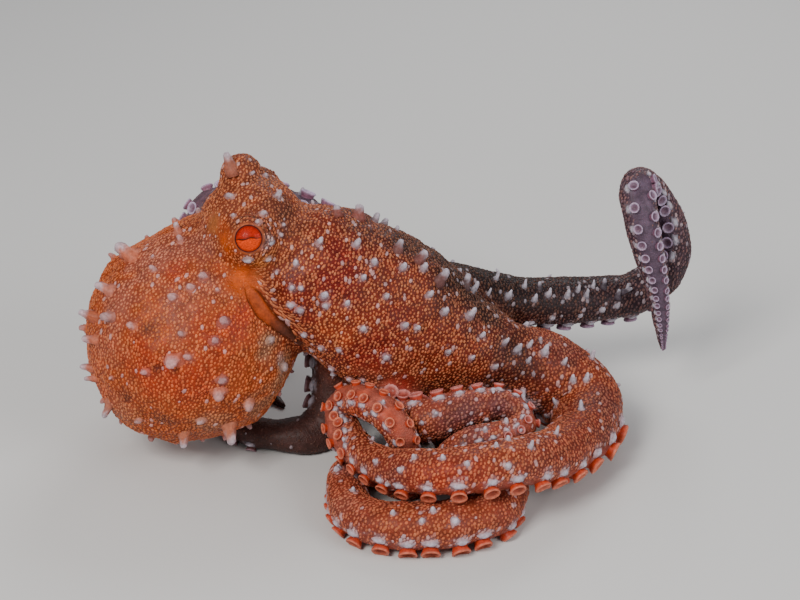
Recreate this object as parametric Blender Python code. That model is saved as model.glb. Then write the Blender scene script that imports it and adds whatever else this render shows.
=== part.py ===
# White-spotted octopus, a life-size still model.
# The animal sits on a floor at z = 0 with its mantle hanging to the left (-X), its arm crown
# reaching to the right (+X) and its right side turned to -Y.
# Every node is one closed solid, and nodes that touch keep a small gap between them.

import math

import bmesh
import bpy
import numpy as np

# Sizes and places are in millimetres, and MM turns them into metres.
MM = 0.001
GAP = 0.3                       # space between touching nodes
LEAN = math.radians(27.0)       # the body lies in a plane that leans back by this much
RIGHT = np.array((1.0, 0.0, 0.0))
UP = np.array((0.0, math.sin(LEAN), math.cos(LEAN)))
DEEP = np.array((0.0, math.cos(LEAN), -math.sin(LEAN)))

# Mantle: a bag on an axis from the neck to its tip, as (distance along, radius).
MANTLE_NECK = np.array((-74.0, 12.5, 102.5))
MANTLE_TIP = np.array((-134.5, -27.5, 23.5))
MANTLE_PROFILE = ((-14, 24), (0, 31), (17, 41), (32, 48.5), (48, 53.2), (64, 52.5), (79, 46.5),
                  (92, 36.5), (101, 25), (107, 13), (109.5, 1.0))
MANTLE_FLATTEN = 0.92           # depth of the bag over its height
MANTLE_LEAST = 0.6              # radius that closes its tip
MANTLE_RINGS = 17
MANTLE_SIDES = 20

# Crown: the band of joined arm roots and web, as
# (x, y, z, half height, half depth, slope below level in degrees).
CROWN_SECTIONS = ((-64, 2, 104, 24, 24, 20), (-50, 2, 97, 33, 32, 24), (-33, 2, 88, 36.5, 34, 26),
                  (-14, 0, 76, 39, 34, 27), (4, -1, 65, 39, 32, 26), (18, 0, 58, 33, 29, 24),
                  (30, 1, 53, 26.5, 26, 22), (44, 3, 47, 20.5, 22.5, 22), (55, 5, 42.2, 18.4, 20.4, 24))
CROWN_POWER = 2.2               # squareness of its section
CROWN_RINGS = 15
CROWN_SIDES = 18
MANTLE_STEPS = 400
CROWN_STEPS = 300
BODY_PASSES = 60                # how much the two profiles are softened

# Head: a rounded block with a turret under each eye.
HEAD_CENTRE = np.array((-72.0, 1.0, 117.0))
HEAD_RADII = np.array((26.5, 26.0, 27.0))
HEAD_TILT = math.radians(11.0)  # the left eye stands higher than the right by this roll
EYE_SPREAD = 46.0               # between the eyeballs' centres
EYE_RAISE = math.radians(35.0)  # each eye looks this far above its own side
EYE_RIGHT = np.array((-71.5, -24.5, 124.0))
EYE_RADIUS = 9.2
EYE_OPENING = 6.75              # radius of the part between the lids
TURRET_RADIUS = (16.0, 18.0)    # right, left
KNOB_CENTRE = np.array((-77.0, 10.0, 141.0))  # the bump at the top of the head
KNOB_RADIUS = 11.2
KNOB_SEGMENTS = (14, 8)
LID_THICKNESS = 2.3
LID_SETBACK = 0.6               # of the lids' ring behind the opening
LID_OUTSET = 1.7                # of the ring's middle outside the opening
LID_SEGMENTS = (16, 5)
HEAD_SEGMENTS = (18, 11)
EYE_SEGMENTS = (14, 10)

# Funnel: a tapered spout at the mantle's opening, root to mouth.
FUNNEL_ROOT = np.array((-74.0, -19.0, 98.0))
FUNNEL_MOUTH = np.array((-55.0, -37.5, 82.0))
FUNNEL_RADII = (9.5, 5.2)
FUNNEL_BORE = 3.2
FUNNEL_SIDES = 14

# Arms. Each route is a list of (x, y, z, half width) chosen along the arm, and suckers_face
# gives the direction of the sucker side at fractions of its length.
# thick is the section's thickness over its width, at the root, past the middle and at the tip.
ARMS = {
    "r1": dict(
        route=((0, 10, 83, 16), (18, 18, 77, 15.5), (40, 29, 67, 15), (62, 38, 58, 14),
               (92, 47, 54, 13.2), (122, 55, 53, 12.2), (139, 60, 60, 11.5), (145.5, 63.5, 76, 11),
               (141, 65, 92, 10.5), (132, 64.5, 107, 10), (124, 58, 117, 9.5),
               (121, 47, 119, 9.4), (122, 38, 112, 9), (124.5, 34.5, 101, 8.6), (128, 33, 88, 7.7),
               (132.4, 32, 74, 6.2), (136.5, 32, 51, 4.2), (138.9, 33, 33, 1.2)),
        suckers_face=((0, (0, 0.3, -1)), (0.35, (0, 0.3, -1)), (0.5, (-0.9, -0.2, -0.3)),
                      (0.62, (-0.2, -1, -0.2)), (0.7, (0.2, -1, 0.1)), (1, (0.3, -1, 0.1))),
        thick=(0.85, 0.9, 0.95)),
    "r2": dict(
        route=((46, 3.2, 46.2, 19.6), (55, 5, 42.2, 19.8), (72, 8.5, 35.5, 21.5), (88, 5, 25, 21.5),
               (96, -9, 19.5, 19.5), (91, -34, 19, 16.6), (76, -60, 25, 14.4), (56, -81, 33.5, 13.6),
               (28, -90.5, 34, 13.4), (9, -86, 31, 12.4), (-4, -76, 26.5, 11.2),
               (-15, -64, 24, 10), (-23, -51, 24.5, 9.4), (-29, -38.5, 27, 8.8),
               (-31, -31.5, 35, 8.2), (-25.5, -34.5, 42.5, 8.2), (-16, -43.5, 45, 8.5),
               (-7, -52, 44.5, 8.5), (-1, -58, 39, 8), (3, -59, 31, 7), (4, -53, 22.5, 5.8),
               (3.5, -46, 14, 5.4), (2, -37, 8, 4.8), (-3, -27, 4.8, 4.1),
               (-3, -16, 3.4, 3.3), (5, -9, 2.6, 2.3), (15, -8, 1.6, 1.0)),
        suckers_face=((0, (0.3, 0.3, -1)), (0.1, (0.6, 0, -1)), (0.22, (0.7, -0.3, -0.8)),
                      (0.34, (0.3, -0.2, -1)), (0.40, (0.1, -0.6, -0.8)), (0.46, (0, -0.6, -0.8)),
                      (0.52, (-0.3, -0.3, -0.9)),
                      (0.58, (-0.7, -0.2, -0.7)), (0.66, (-0.6, 0.1, 0.6)), (0.74, (0.5, -0.6, 0.6)),
                      (0.82, (0.5, -0.8, -0.2)), (1, (0.3, 0, -1))),
        thick=(0.9, 0.9, 0.92)),
    "r3": dict(
        route=((8, 2, 42, 17), (21, -9, 27, 16), (35, -30, 12.5, 15.2), (45, -50, 9.4, 15),
               (48, -71, 9.4, 15), (41, -89, 9.6, 15.2), (22, -98, 9.8, 15.5),
               (0, -98.5, 9.6, 15.2), (-13, -95, 9, 13.8), (-21, -87, 8.6, 12.4),
               (-24.5, -76, 8.4, 11.4), (-25.5, -63, 8.4, 10.6), (-25.5, -50, 8, 9.2),
               (-20.5, -41, 6, 7.4), (-12.5, -42.5, 4.6, 5.8), (-8, -51, 4, 4.8),
               (-3, -59, 3.4, 4.2), (4, -62, 2.4, 3.2), (11, -58, 1.4, 1.0)),
        suckers_face=((0, (0.3, 0, -1)), (0.25, (0.5, -0.3, -1)), (0.45, (0, -0.52, -0.86)),
                      (0.6, (-0.5, -0.4, -0.85)), (0.75, (-0.5, 0.3, -1)), (1, (0, 0, -1))),
        thick=(0.76, 0.76, 0.85)),
    "r4": dict(
        route=((-9, -9, 50, 14), (-8, -20, 40, 13.6), (-4, -30, 32.5, 13), (5, -39, 32, 12.4),
               (16, -44, 36, 12), (32, -41, 39.5, 10.6), (46, -36, 40.5, 9), (56.5, -38, 38.5, 7.9),
               (61, -46, 34.5, 7.4), (54, -54.5, 32.5, 7.4), (44, -58.5, 33.5, 7.4),
               (35, -60.5, 34, 7), (26, -61.5, 29, 6.2),
               (21, -57, 21, 5.4), (17, -50, 14, 4.8), (14.5, -42, 8, 4), (14, -32, 4.4, 3),
               (17, -24, 1.8, 1.0)),
        suckers_face=((0, (0, 0.4, 1)), (0.3, (-0.2, 0.95, 0.75)), (0.48, (0.3, 0.8, 0.6)),
                      (0.58, (1, 0.2, 0.2)), (0.68, (0.3, -0.8, -0.5)), (0.8, (-0.5, -0.7, -0.6)),
                      (1, (0, 0, -1))),
        thick=(0.92, 0.92, 0.92)),
    "l1": dict(
        route=((-10, 25, 74, 16.5), (0, 41, 62, 16), (14, 56, 48, 15), (34, 69, 28, 14),
               (52, 77, 11.5, 12.8), (68, 78, 7.8, 11.5), (80, 68, 7.2, 10.4), (82, 54, 6.4, 9.2),
               (75, 41, 5.6, 8), (64, 36, 4.6, 6.5), (54, 41, 3.6, 5), (54, 50, 2.6, 3.4),
               (60, 56, 1.4, 1.2)),
        suckers_face=((0, (0, 0.3, -1)), (0.4, (0, 0.8, -0.8)), (0.55, (0.2, 0.8, -0.8)),
                      (0.65, (0.8, 0.2, -0.8)), (0.78, (0.3, -0.8, -0.8)),
                      (0.88, (-0.8, -0.3, -0.8)), (1, (-0.5, 0.6, -0.8))),
        thick=(0.85, 0.85, 0.9)),
    "l2": dict(
        route=((-19, 18, 88, 14.5), (-39, 42, 97, 14), (-62, 57, 103, 13.2), (-86, 54, 110, 12),
               (-99.5, 49, 107, 11), (-106, 56, 90, 10.8), (-108, 64, 68, 10.4),
               (-106, 70, 44, 9.8), (-100, 75, 20, 9.2), (-90, 79, 6.2, 8.6), (-76, 78, 5.1, 7.8),
               (-66, 69, 4.5, 6.8), (-70, 58, 3.7, 5.6), (-82, 55, 2.8, 4.2), (-92, 60, 1.4, 1.4)),
        suckers_face=((0, (0, 0.6, 1)), (0.25, (-0.5, 0.1, 0.9)), (0.36, (-1, -0.1, 0.35)),
                      (0.5, (-1, -0.2, 0)), (0.62, (-0.7, 0.3, -0.6)), (0.72, (0, 0.8, -0.8)),
                      (0.82, (0.8, 0, -0.8)), (0.9, (0, -0.8, -0.8)), (1, (-0.6, 0, -0.8))),
        thick=(0.85, 0.85, 0.9)),
    "l3": dict(
        route=((-28, 11, 60, 15.5), (-31, 9, 46, 16), (-32.5, 4, 31, 15.2), (-34.5, -2.5, 18, 13.6),
               (-39.5, -9, 10, 12.2), (-48, -13, 7.6, 11.2), (-60, -13, 6.9, 10.4),
               (-76, -8, 6.2, 9.6), (-88, 4, 5.6, 8.6),
               (-92, 18, 4.8, 7.2), (-88, 31, 3.8, 5.8), (-77, 37, 2.9, 4.4), (-67, 34, 1.9, 2.8),
               (-62, 27, 1.2, 1.0)),
        suckers_face=((0, (-0.8, 0.6, -0.2)), (0.25, (-0.9, 0.5, 0)), (0.4, (-0.4, 0.2, -1)),
                      (0.5, (0, -0.35, -1)),
                      (0.68, (-0.8, 0, -0.8)), (0.82, (-0.3, 0.8, -0.8)), (1, (0.8, 0.2, -0.8))),
        thick=(0.82, 0.82, 0.85)),
    "l4": dict(
        route=((2, 8, 50, 14), (4, 18, 38, 14), (7, 31, 25, 13.5), (8, 43, 12.5, 12.6),
               (0, 55, 8, 11.8), (-12, 59, 7.3, 10.8), (-22, 52, 6.5, 9.6), (-24, 40, 5.7, 8.4),
               (-16, 30, 4.7, 7), (-4, 27, 3.7, 5.6), (6, 25, 2.5, 3.8), (14, 20, 1.2, 1.2)),
        suckers_face=((0, (0.3, 0.3, -1)), (0.35, (0.8, 0.2, -0.8)), (0.5, (0, 0.8, -0.8)),
                      (0.66, (-0.8, 0.2, -0.8)), (0.8, (-0.2, -0.8, -0.8)), (1, (0.3, -0.8, -0.8))),
        thick=(0.85, 0.85, 0.88)),
}
ARM_SIDES = 10
SUCKER_SIDE_ROUND = 0.85        # thickness of the sucker side over the outer side
ROUTE_STEPS = 500
SOFTEN_PASSES = 26
FACE_PASSES = 30
RING_PITCH = 0.95               # rings along an arm, in half widths
TURN_LIMIT = math.radians(85.0)  # an arm is divided after this much bending
LENGTH_LIMIT = 95.0             # or after this length
LENGTH_LEAST = 18.0             # a shorter end joins the length before it

# Suckers: two rows along each arm. Sizes are shares of the arm's half width where one stands.
SUCKER_RADIUS = 0.30
SUCKER_REACH = 0.27
SUCKER_SINK = 0.16              # how far its foot goes into the arm
SUCKER_WAIST = 0.74             # radius at its foot over that of its rim
SUCKER_SPACING = 1.65           # along one row; the two rows are staggered
SUCKER_SPREAD = math.radians(28.0)  # each row's turn from the middle of the sucker side
SUCKER_LEAST = 0.9              # smallest radius, in millimetres
SUCKER_LEAST_HALF = 2.4         # spacing shrinks no further than on an arm of this half width
SUCKER_SIDES = 5

# Papillae: soft pointed cones, as (foot radius, height). A row strays by a share of the pitch.
MANTLE_PAPILLA = (3.0, 7.5)
MANTLE_PAPILLA_ROWS = (0.20, 0.28, 0.36, 0.44, 0.52, 0.60, 0.69, 0.78, 0.88)
MANTLE_PAPILLA_PITCH = 25.0
CROWN_PAPILLA = (2.1, 4.4)
CROWN_PAPILLA_ROWS = (0.10, 0.21, 0.32, 0.43, 0.54, 0.64, 0.75, 0.86, 0.97)
CROWN_PAPILLA_PITCH = 21.0
ARM_PAPILLA = (1.8, 3.8)
ARM_PAPILLA_SPACING = 3.0       # in half widths along one row; the two rows are staggered
ARM_PAPILLA_SPREAD = math.radians(38.0)
ARM_PAPILLA_LEAST_HALF = 8.5    # narrower stretches carry none
HORN = (3.0, 8.0)               # the tall papilla over each eye
HORN_LEANS = ((-0.75, 1.0), (0.8, 0.65))    # (lean to the right, size) of the ones on a turret
PAPILLA_SIDES = 5
PAPILLA_SINK = 0.45             # of its foot radius
PAPILLA_STRAY = 0.28
SEED = 12

STEEPEST = 6.0                  # limit to a profile's slope where a growth's direction is found
CLEARANCE = 0.5                 # kept free between a sucker or papilla and another node
STEP_REACH = 1.5                # a step of a route answers for this much of its length each way
FLOOR_DEPTH = 60.0              # block that trims what would reach under the floor
FLOOR_WIDTH = 600.0

COLOURS = {
    "mantle": (0.72, 0.24, 0.10), "head": (0.70, 0.25, 0.08), "crown": (0.42, 0.12, 0.06),
    "funnel": (0.80, 0.35, 0.10), "eye": (0.75, 0.12, 0.03), "arm": (0.50, 0.18, 0.12),
}
SKIN_ROUGHNESS = 0.45
EYE_ROUGHNESS = 0.12


def unit(v):
    return v / np.linalg.norm(v, axis=-1, keepdims=True)


def dense_curve(keys, steps, passes, measure=3):
    """Straight runs between the keys, evenly divided by length and then softened."""
    curve = np.asarray(keys, float)
    for _ in range(2):
        run = np.linalg.norm(np.diff(curve[:, :measure], axis=0), axis=1)
        at = np.concatenate(((0.0,), np.cumsum(run)))
        even = np.linspace(0.0, at[-1], steps)
        curve = np.stack([np.interp(even, at, column) for column in curve.T], 1)
        for _ in range(passes):
            curve[1:-1] = 0.25 * curve[:-2] + 0.5 * curve[1:-1] + 0.25 * curve[2:]
    return curve


def sample(curve, fractions):
    at = np.linspace(0.0, 1.0, len(curve))
    if curve.ndim == 1:
        return np.interp(fractions, at, curve)
    return np.stack([np.interp(fractions, at, column) for column in curve.T], 1)


def make_tube(centre, tangent, face, half, thick, power=2.0, flat=1.0):
    """A body part as sections along a curve: half width sideways and half thickness to the face."""
    length = np.linalg.norm(np.diff(centre, axis=0), axis=1).sum()
    return dict(centre=centre, tangent=tangent, face=face, side=unit(np.cross(tangent, face)),
                half=half, thick=thick, power=power, flat=flat, length=length)


def mantle_tube():
    profile = dense_curve(MANTLE_PROFILE, MANTLE_STEPS, BODY_PASSES, measure=2)
    axis = np.repeat(unit(MANTLE_TIP - MANTLE_NECK)[None], MANTLE_STEPS, 0)
    radius = np.maximum(profile[:, 1], MANTLE_LEAST)
    return make_tube(MANTLE_NECK + axis * profile[:, :1], axis, unit(np.cross(axis, DEEP)),
                     radius * MANTLE_FLATTEN, radius)


def crown_tube():
    curve = dense_curve(CROWN_SECTIONS, CROWN_STEPS, BODY_PASSES)
    slope = np.radians(curve[:, 5])[:, None]
    forward = np.cos(slope) * RIGHT - np.sin(slope) * UP
    high = np.sin(slope) * RIGHT + np.cos(slope) * UP
    return make_tube(curve[:, :3], forward, high, curve[:, 4], curve[:, 3], CROWN_POWER)


def arm_tube(arm):
    spec = ARMS[arm]
    curve = dense_curve(spec["route"], ROUTE_STEPS, SOFTEN_PASSES)
    centre, half = curve[:, :3], curve[:, 3]
    tangent = unit(np.gradient(centre, axis=0))
    at = np.linspace(0.0, 1.0, ROUTE_STEPS)
    keys = spec["suckers_face"]
    wanted = np.array([unit(np.array(key[1], float)) for key in keys])
    face = np.stack([np.interp(at, [key[0] for key in keys], column) for column in wanted.T], 1)
    for _ in range(FACE_PASSES):
        face[1:-1] = 0.25 * face[:-2] + 0.5 * face[1:-1] + 0.25 * face[2:]
    face = unit(face - (face * tangent).sum(1, keepdims=True) * tangent)
    thick = half * np.interp(at, (0.0, 0.55, 1.0), spec["thick"])
    return make_tube(centre, tangent, face, half, thick, flat=SUCKER_SIDE_ROUND)


def tube_rings(tube, fractions, sides, grow=0.0):
    """Closed sections at fractions of the tube's length. Flat shrinks the side that faces."""
    turn = np.linspace(0.0, 2.0 * math.pi, sides, endpoint=False)
    across = np.sign(np.cos(turn)) * np.abs(np.cos(turn)) ** (2.0 / tube["power"])
    up = np.sign(np.sin(turn)) * np.abs(np.sin(turn)) ** (2.0 / tube["power"])
    up = np.where(up > 0.0, tube["flat"], 1.0) * up
    half = sample(tube["half"], fractions)[:, None] + grow
    thick = sample(tube["thick"], fractions)[:, None] + grow
    wide = unit(sample(tube["side"], fractions))[:, None] * (half * across)[..., None]
    high = unit(sample(tube["face"], fractions))[:, None] * (thick * up)[..., None]
    rings = sample(tube["centre"], fractions)[:, None] + wide + high
    rings[0] -= tube["tangent"][0] * grow
    rings[-1] += tube["tangent"][-1] * grow
    return rings


def tube_index(tube, fraction):
    return int(round(fraction * (len(tube["half"]) - 1)))


def tube_point(tube, fraction, turn):
    """A point of the tube's surface and its outward direction, turned from the side direction."""
    at = tube_index(tube, fraction)
    near, far = max(at - 1, 0), min(at + 1, len(tube["half"]) - 1)
    half, thick = tube["half"][at], tube["thick"][at]
    if math.sin(turn) > 0.0:
        thick = tube["flat"] * thick
    side, face = tube["side"][at], tube["face"][at]
    point = tube["centre"][at] + side * half * math.cos(turn) + face * thick * math.sin(turn)
    run = np.linalg.norm(tube["centre"][far] - tube["centre"][near])
    slope = np.clip((tube["half"][far] - tube["half"][near]) / run, -STEEPEST, STEEPEST)
    outward = unit(side * math.cos(turn) / half + face * math.sin(turn) / thick)
    return point, unit(outward - tube["tangent"][at] * slope)


def meets_tube(tube, points, skip):
    """True where a point lies in the tube or close to it; the skipped steps don't count."""
    off = points[:, None] - tube["centre"][None]
    along = np.abs((off * tube["tangent"][None]).sum(2))
    side = (off * tube["side"][None]).sum(2) / (tube["half"] + CLEARANCE)
    face = (off * tube["face"][None]).sum(2) / (tube["thick"] + CLEARANCE)
    hit = (along < STEP_REACH + CLEARANCE) & (side ** 2 + face ** 2 < 1.0)
    hit[:, skip] = False
    return bool(hit.any())


def arm_divisions(tube):
    """Fractions of the length where the arm is divided, from its bending and its length."""
    turn = np.arccos(np.clip((tube["tangent"][1:] * tube["tangent"][:-1]).sum(1), -1.0, 1.0))
    step = tube["length"] / (ROUTE_STEPS - 1)
    cuts, bent, run = [0.0], 0.0, 0.0
    for index, angle in enumerate(turn):
        bent += angle
        run += step
        if bent >= TURN_LIMIT or run >= LENGTH_LIMIT:
            cuts.append((index + 1) / (ROUTE_STEPS - 1))
            bent, run = 0.0, 0.0
    if run < LENGTH_LEAST and len(cuts) > 1:
        cuts.pop()
    return cuts + [1.0]


def arm_length_rings(tube, start, end):
    """Rings of one length, its end faces parallel to its neighbours' and half the gap away."""
    pitch = RING_PITCH * sample(tube["half"], 0.5 * (start + end))
    count = max(3, int(round((end - start) * tube["length"] / pitch)) + 1)
    rings = tube_rings(tube, np.linspace(start, end, count), ARM_SIDES)
    tangent = unit(sample(tube["tangent"], np.array((start, end))))
    if start > 0.0:
        rings[0] += tangent[0] * GAP * 0.5
    if end < 1.0:
        rings[-1] -= tangent[1] * GAP * 0.5
    return rings


def new_collection(name):
    collection = bpy.data.collections.new(name)
    bpy.context.scene.collection.children.link(collection)
    return collection


def hide_cutter(made):
    made.hide_render = True
    made.display_type = "WIRE"
    return made


def mesh_object(name, bm, collection):
    bmesh.ops.recalc_face_normals(bm, faces=bm.faces)
    mesh = bpy.data.meshes.new(name)
    bm.to_mesh(mesh)
    bm.free()
    made = bpy.data.objects.new(name, mesh)
    collection.objects.link(made)
    return made


def loft_object(name, rings, collection):
    """A closed skin over a row of rings, with a flat cap at each end."""
    bm = bmesh.new()
    rows = [[bm.verts.new(point * MM) for point in ring] for ring in rings]
    sides = len(rows[0])
    for low, high in zip(rows[:-1], rows[1:]):
        for i in range(sides):
            j = (i + 1) % sides
            bm.faces.new((low[i], high[i], high[j], low[j]))
    bm.faces.new(rows[0])
    bm.faces.new(rows[-1])
    return mesh_object(name, bm, collection)


def ball_object(name, centre, radii, collection, segments, rings):
    bm = bmesh.new()
    bmesh.ops.create_uvsphere(bm, u_segments=segments, v_segments=rings, radius=MM)
    for vert in bm.verts:
        for axis in range(3):
            vert.co[axis] = vert.co[axis] * radii[axis] + centre[axis] * MM
    return mesh_object(name, bm, collection)


def mesh_box(name, centre, size, collection):
    bm = bmesh.new()
    bmesh.ops.create_cube(bm, size=MM)
    for vert in bm.verts:
        for axis in range(3):
            vert.co[axis] = vert.co[axis] * size[axis] + centre[axis] * MM
    return mesh_object(name, bm, collection)


def place_verts(verts, centre, axis):
    """Turns points made about +Z to stand on the centre along the axis."""
    up = unit(np.asarray(axis, float))
    wide = unit(np.cross(up, RIGHT if abs(up[0]) < 0.8 else UP))
    deep = np.cross(up, wide)
    for vert in verts:
        vert.co = centre * MM + wide * vert.co.x + deep * vert.co.y + up * vert.co.z


def cone_object(growth, collection):
    """A sucker or a papilla: a few-sided cone, cut short where it has a top radius."""
    foot, axis, low, high, sink, reach, sides = growth
    bm = bmesh.new()
    bmesh.ops.create_cone(bm, cap_ends=True, segments=sides, radius1=low * MM, radius2=high * MM,
                          depth=(sink + reach) * MM)
    place_verts(bm.verts, foot + axis * 0.5 * (reach - sink), axis)
    bmesh.ops.remove_doubles(bm, verts=bm.verts, dist=0.001 * MM)
    return mesh_object("growth", bm, collection)


def ring_about(centre, axis, radius, thickness, collection):
    """A torus of lid flesh about an eye."""
    bpy.ops.mesh.primitive_torus_add(major_segments=LID_SEGMENTS[0], minor_segments=LID_SEGMENTS[1],
                                     major_radius=radius * MM, minor_radius=thickness * MM)
    made = bpy.context.object
    place_verts(made.data.vertices, centre, axis)
    for other in made.users_collection:
        other.objects.unlink(made)
    collection.objects.link(made)


def remove_objects(objects):
    for item in list(objects):
        mesh = item.data
        bpy.data.objects.remove(item)
        bpy.data.meshes.remove(mesh)


def keep_largest(mesh):
    """Drops every closed surface but the largest."""
    bm = bmesh.new()
    bm.from_mesh(mesh)
    left, shells = set(bm.faces), []
    while left:
        shell, open_faces = set(), [left.pop()]
        while open_faces:
            face = open_faces.pop()
            shell.add(face)
            for edge in face.edges:
                for other in edge.link_faces:
                    if other in left:
                        left.discard(other)
                        open_faces.append(other)
        shells.append(shell)
    shells.sort(key=lambda shell: -sum(face.calc_area() for face in shell))
    extra = [face for shell in shells[1:] for face in shell]
    bmesh.ops.delete(bm, geom=extra, context="FACES")
    bm.to_mesh(mesh)
    bm.free()
    mesh.update()


def apply_boolean(target, operation, others=None, collection=None):
    """Joins or cuts with one object or a whole collection, and applies the result."""
    modifier = target.modifiers.new(operation.title(), "BOOLEAN")
    modifier.operation = operation
    modifier.solver = "MANIFOLD"    # the exact solver breaks arm_r1_2 into loose slivers
    if collection is not None:
        modifier.operand_type = "COLLECTION"
        modifier.collection = collection
    else:
        modifier.object = others
    bpy.context.view_layer.update()
    evaluated = target.evaluated_get(bpy.context.evaluated_depsgraph_get())
    result = bpy.data.meshes.new_from_object(evaluated)
    target.modifiers.remove(modifier)
    old = target.data
    target.data = result
    result.name = target.name
    bpy.data.meshes.remove(old)
    keep_largest(target.data)


def join_pieces(target, pieces):
    apply_boolean(target, "UNION", collection=pieces)
    remove_objects(pieces.objects)


def grow(target, growths, pieces):
    """Joins suckers and papillae to the node that they grow from."""
    if growths:
        for growth in growths:
            cone_object(growth, pieces)
        join_pieces(target, pieces)


def paint(target, colour, roughness):
    material = bpy.data.materials.new(target.name)
    material.use_nodes = True
    shader = material.node_tree.nodes["Principled BSDF"]
    shader.inputs["Base Color"].default_value = (*colour, 1.0)
    shader.inputs["Roughness"].default_value = roughness
    shader.inputs["Metallic"].default_value = 0.0
    target.data.materials.clear()
    target.data.materials.append(material)


def eye_places():
    """Centre and looking direction of the right eye and of the left one."""
    across = np.array((0.0, math.cos(HEAD_TILT), math.sin(HEAD_TILT)))
    crest = np.array((0.0, -math.sin(HEAD_TILT), math.cos(HEAD_TILT)))
    looks = [sign * across * math.cos(EYE_RAISE) + crest * math.sin(EYE_RAISE) for sign in (-1, 1)]
    return [(EYE_RIGHT, looks[0]), (EYE_RIGHT + across * EYE_SPREAD, looks[1])]


def eye_depth():
    """How far the lids' opening lies in front of an eyeball's centre."""
    return math.sqrt(EYE_RADIUS ** 2 - EYE_OPENING ** 2)


def turret_places():
    places = zip(eye_places(), TURRET_RADIUS)
    return [(centre + look * (eye_depth() - radius), look, radius) for (centre, look), radius in places]


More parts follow.
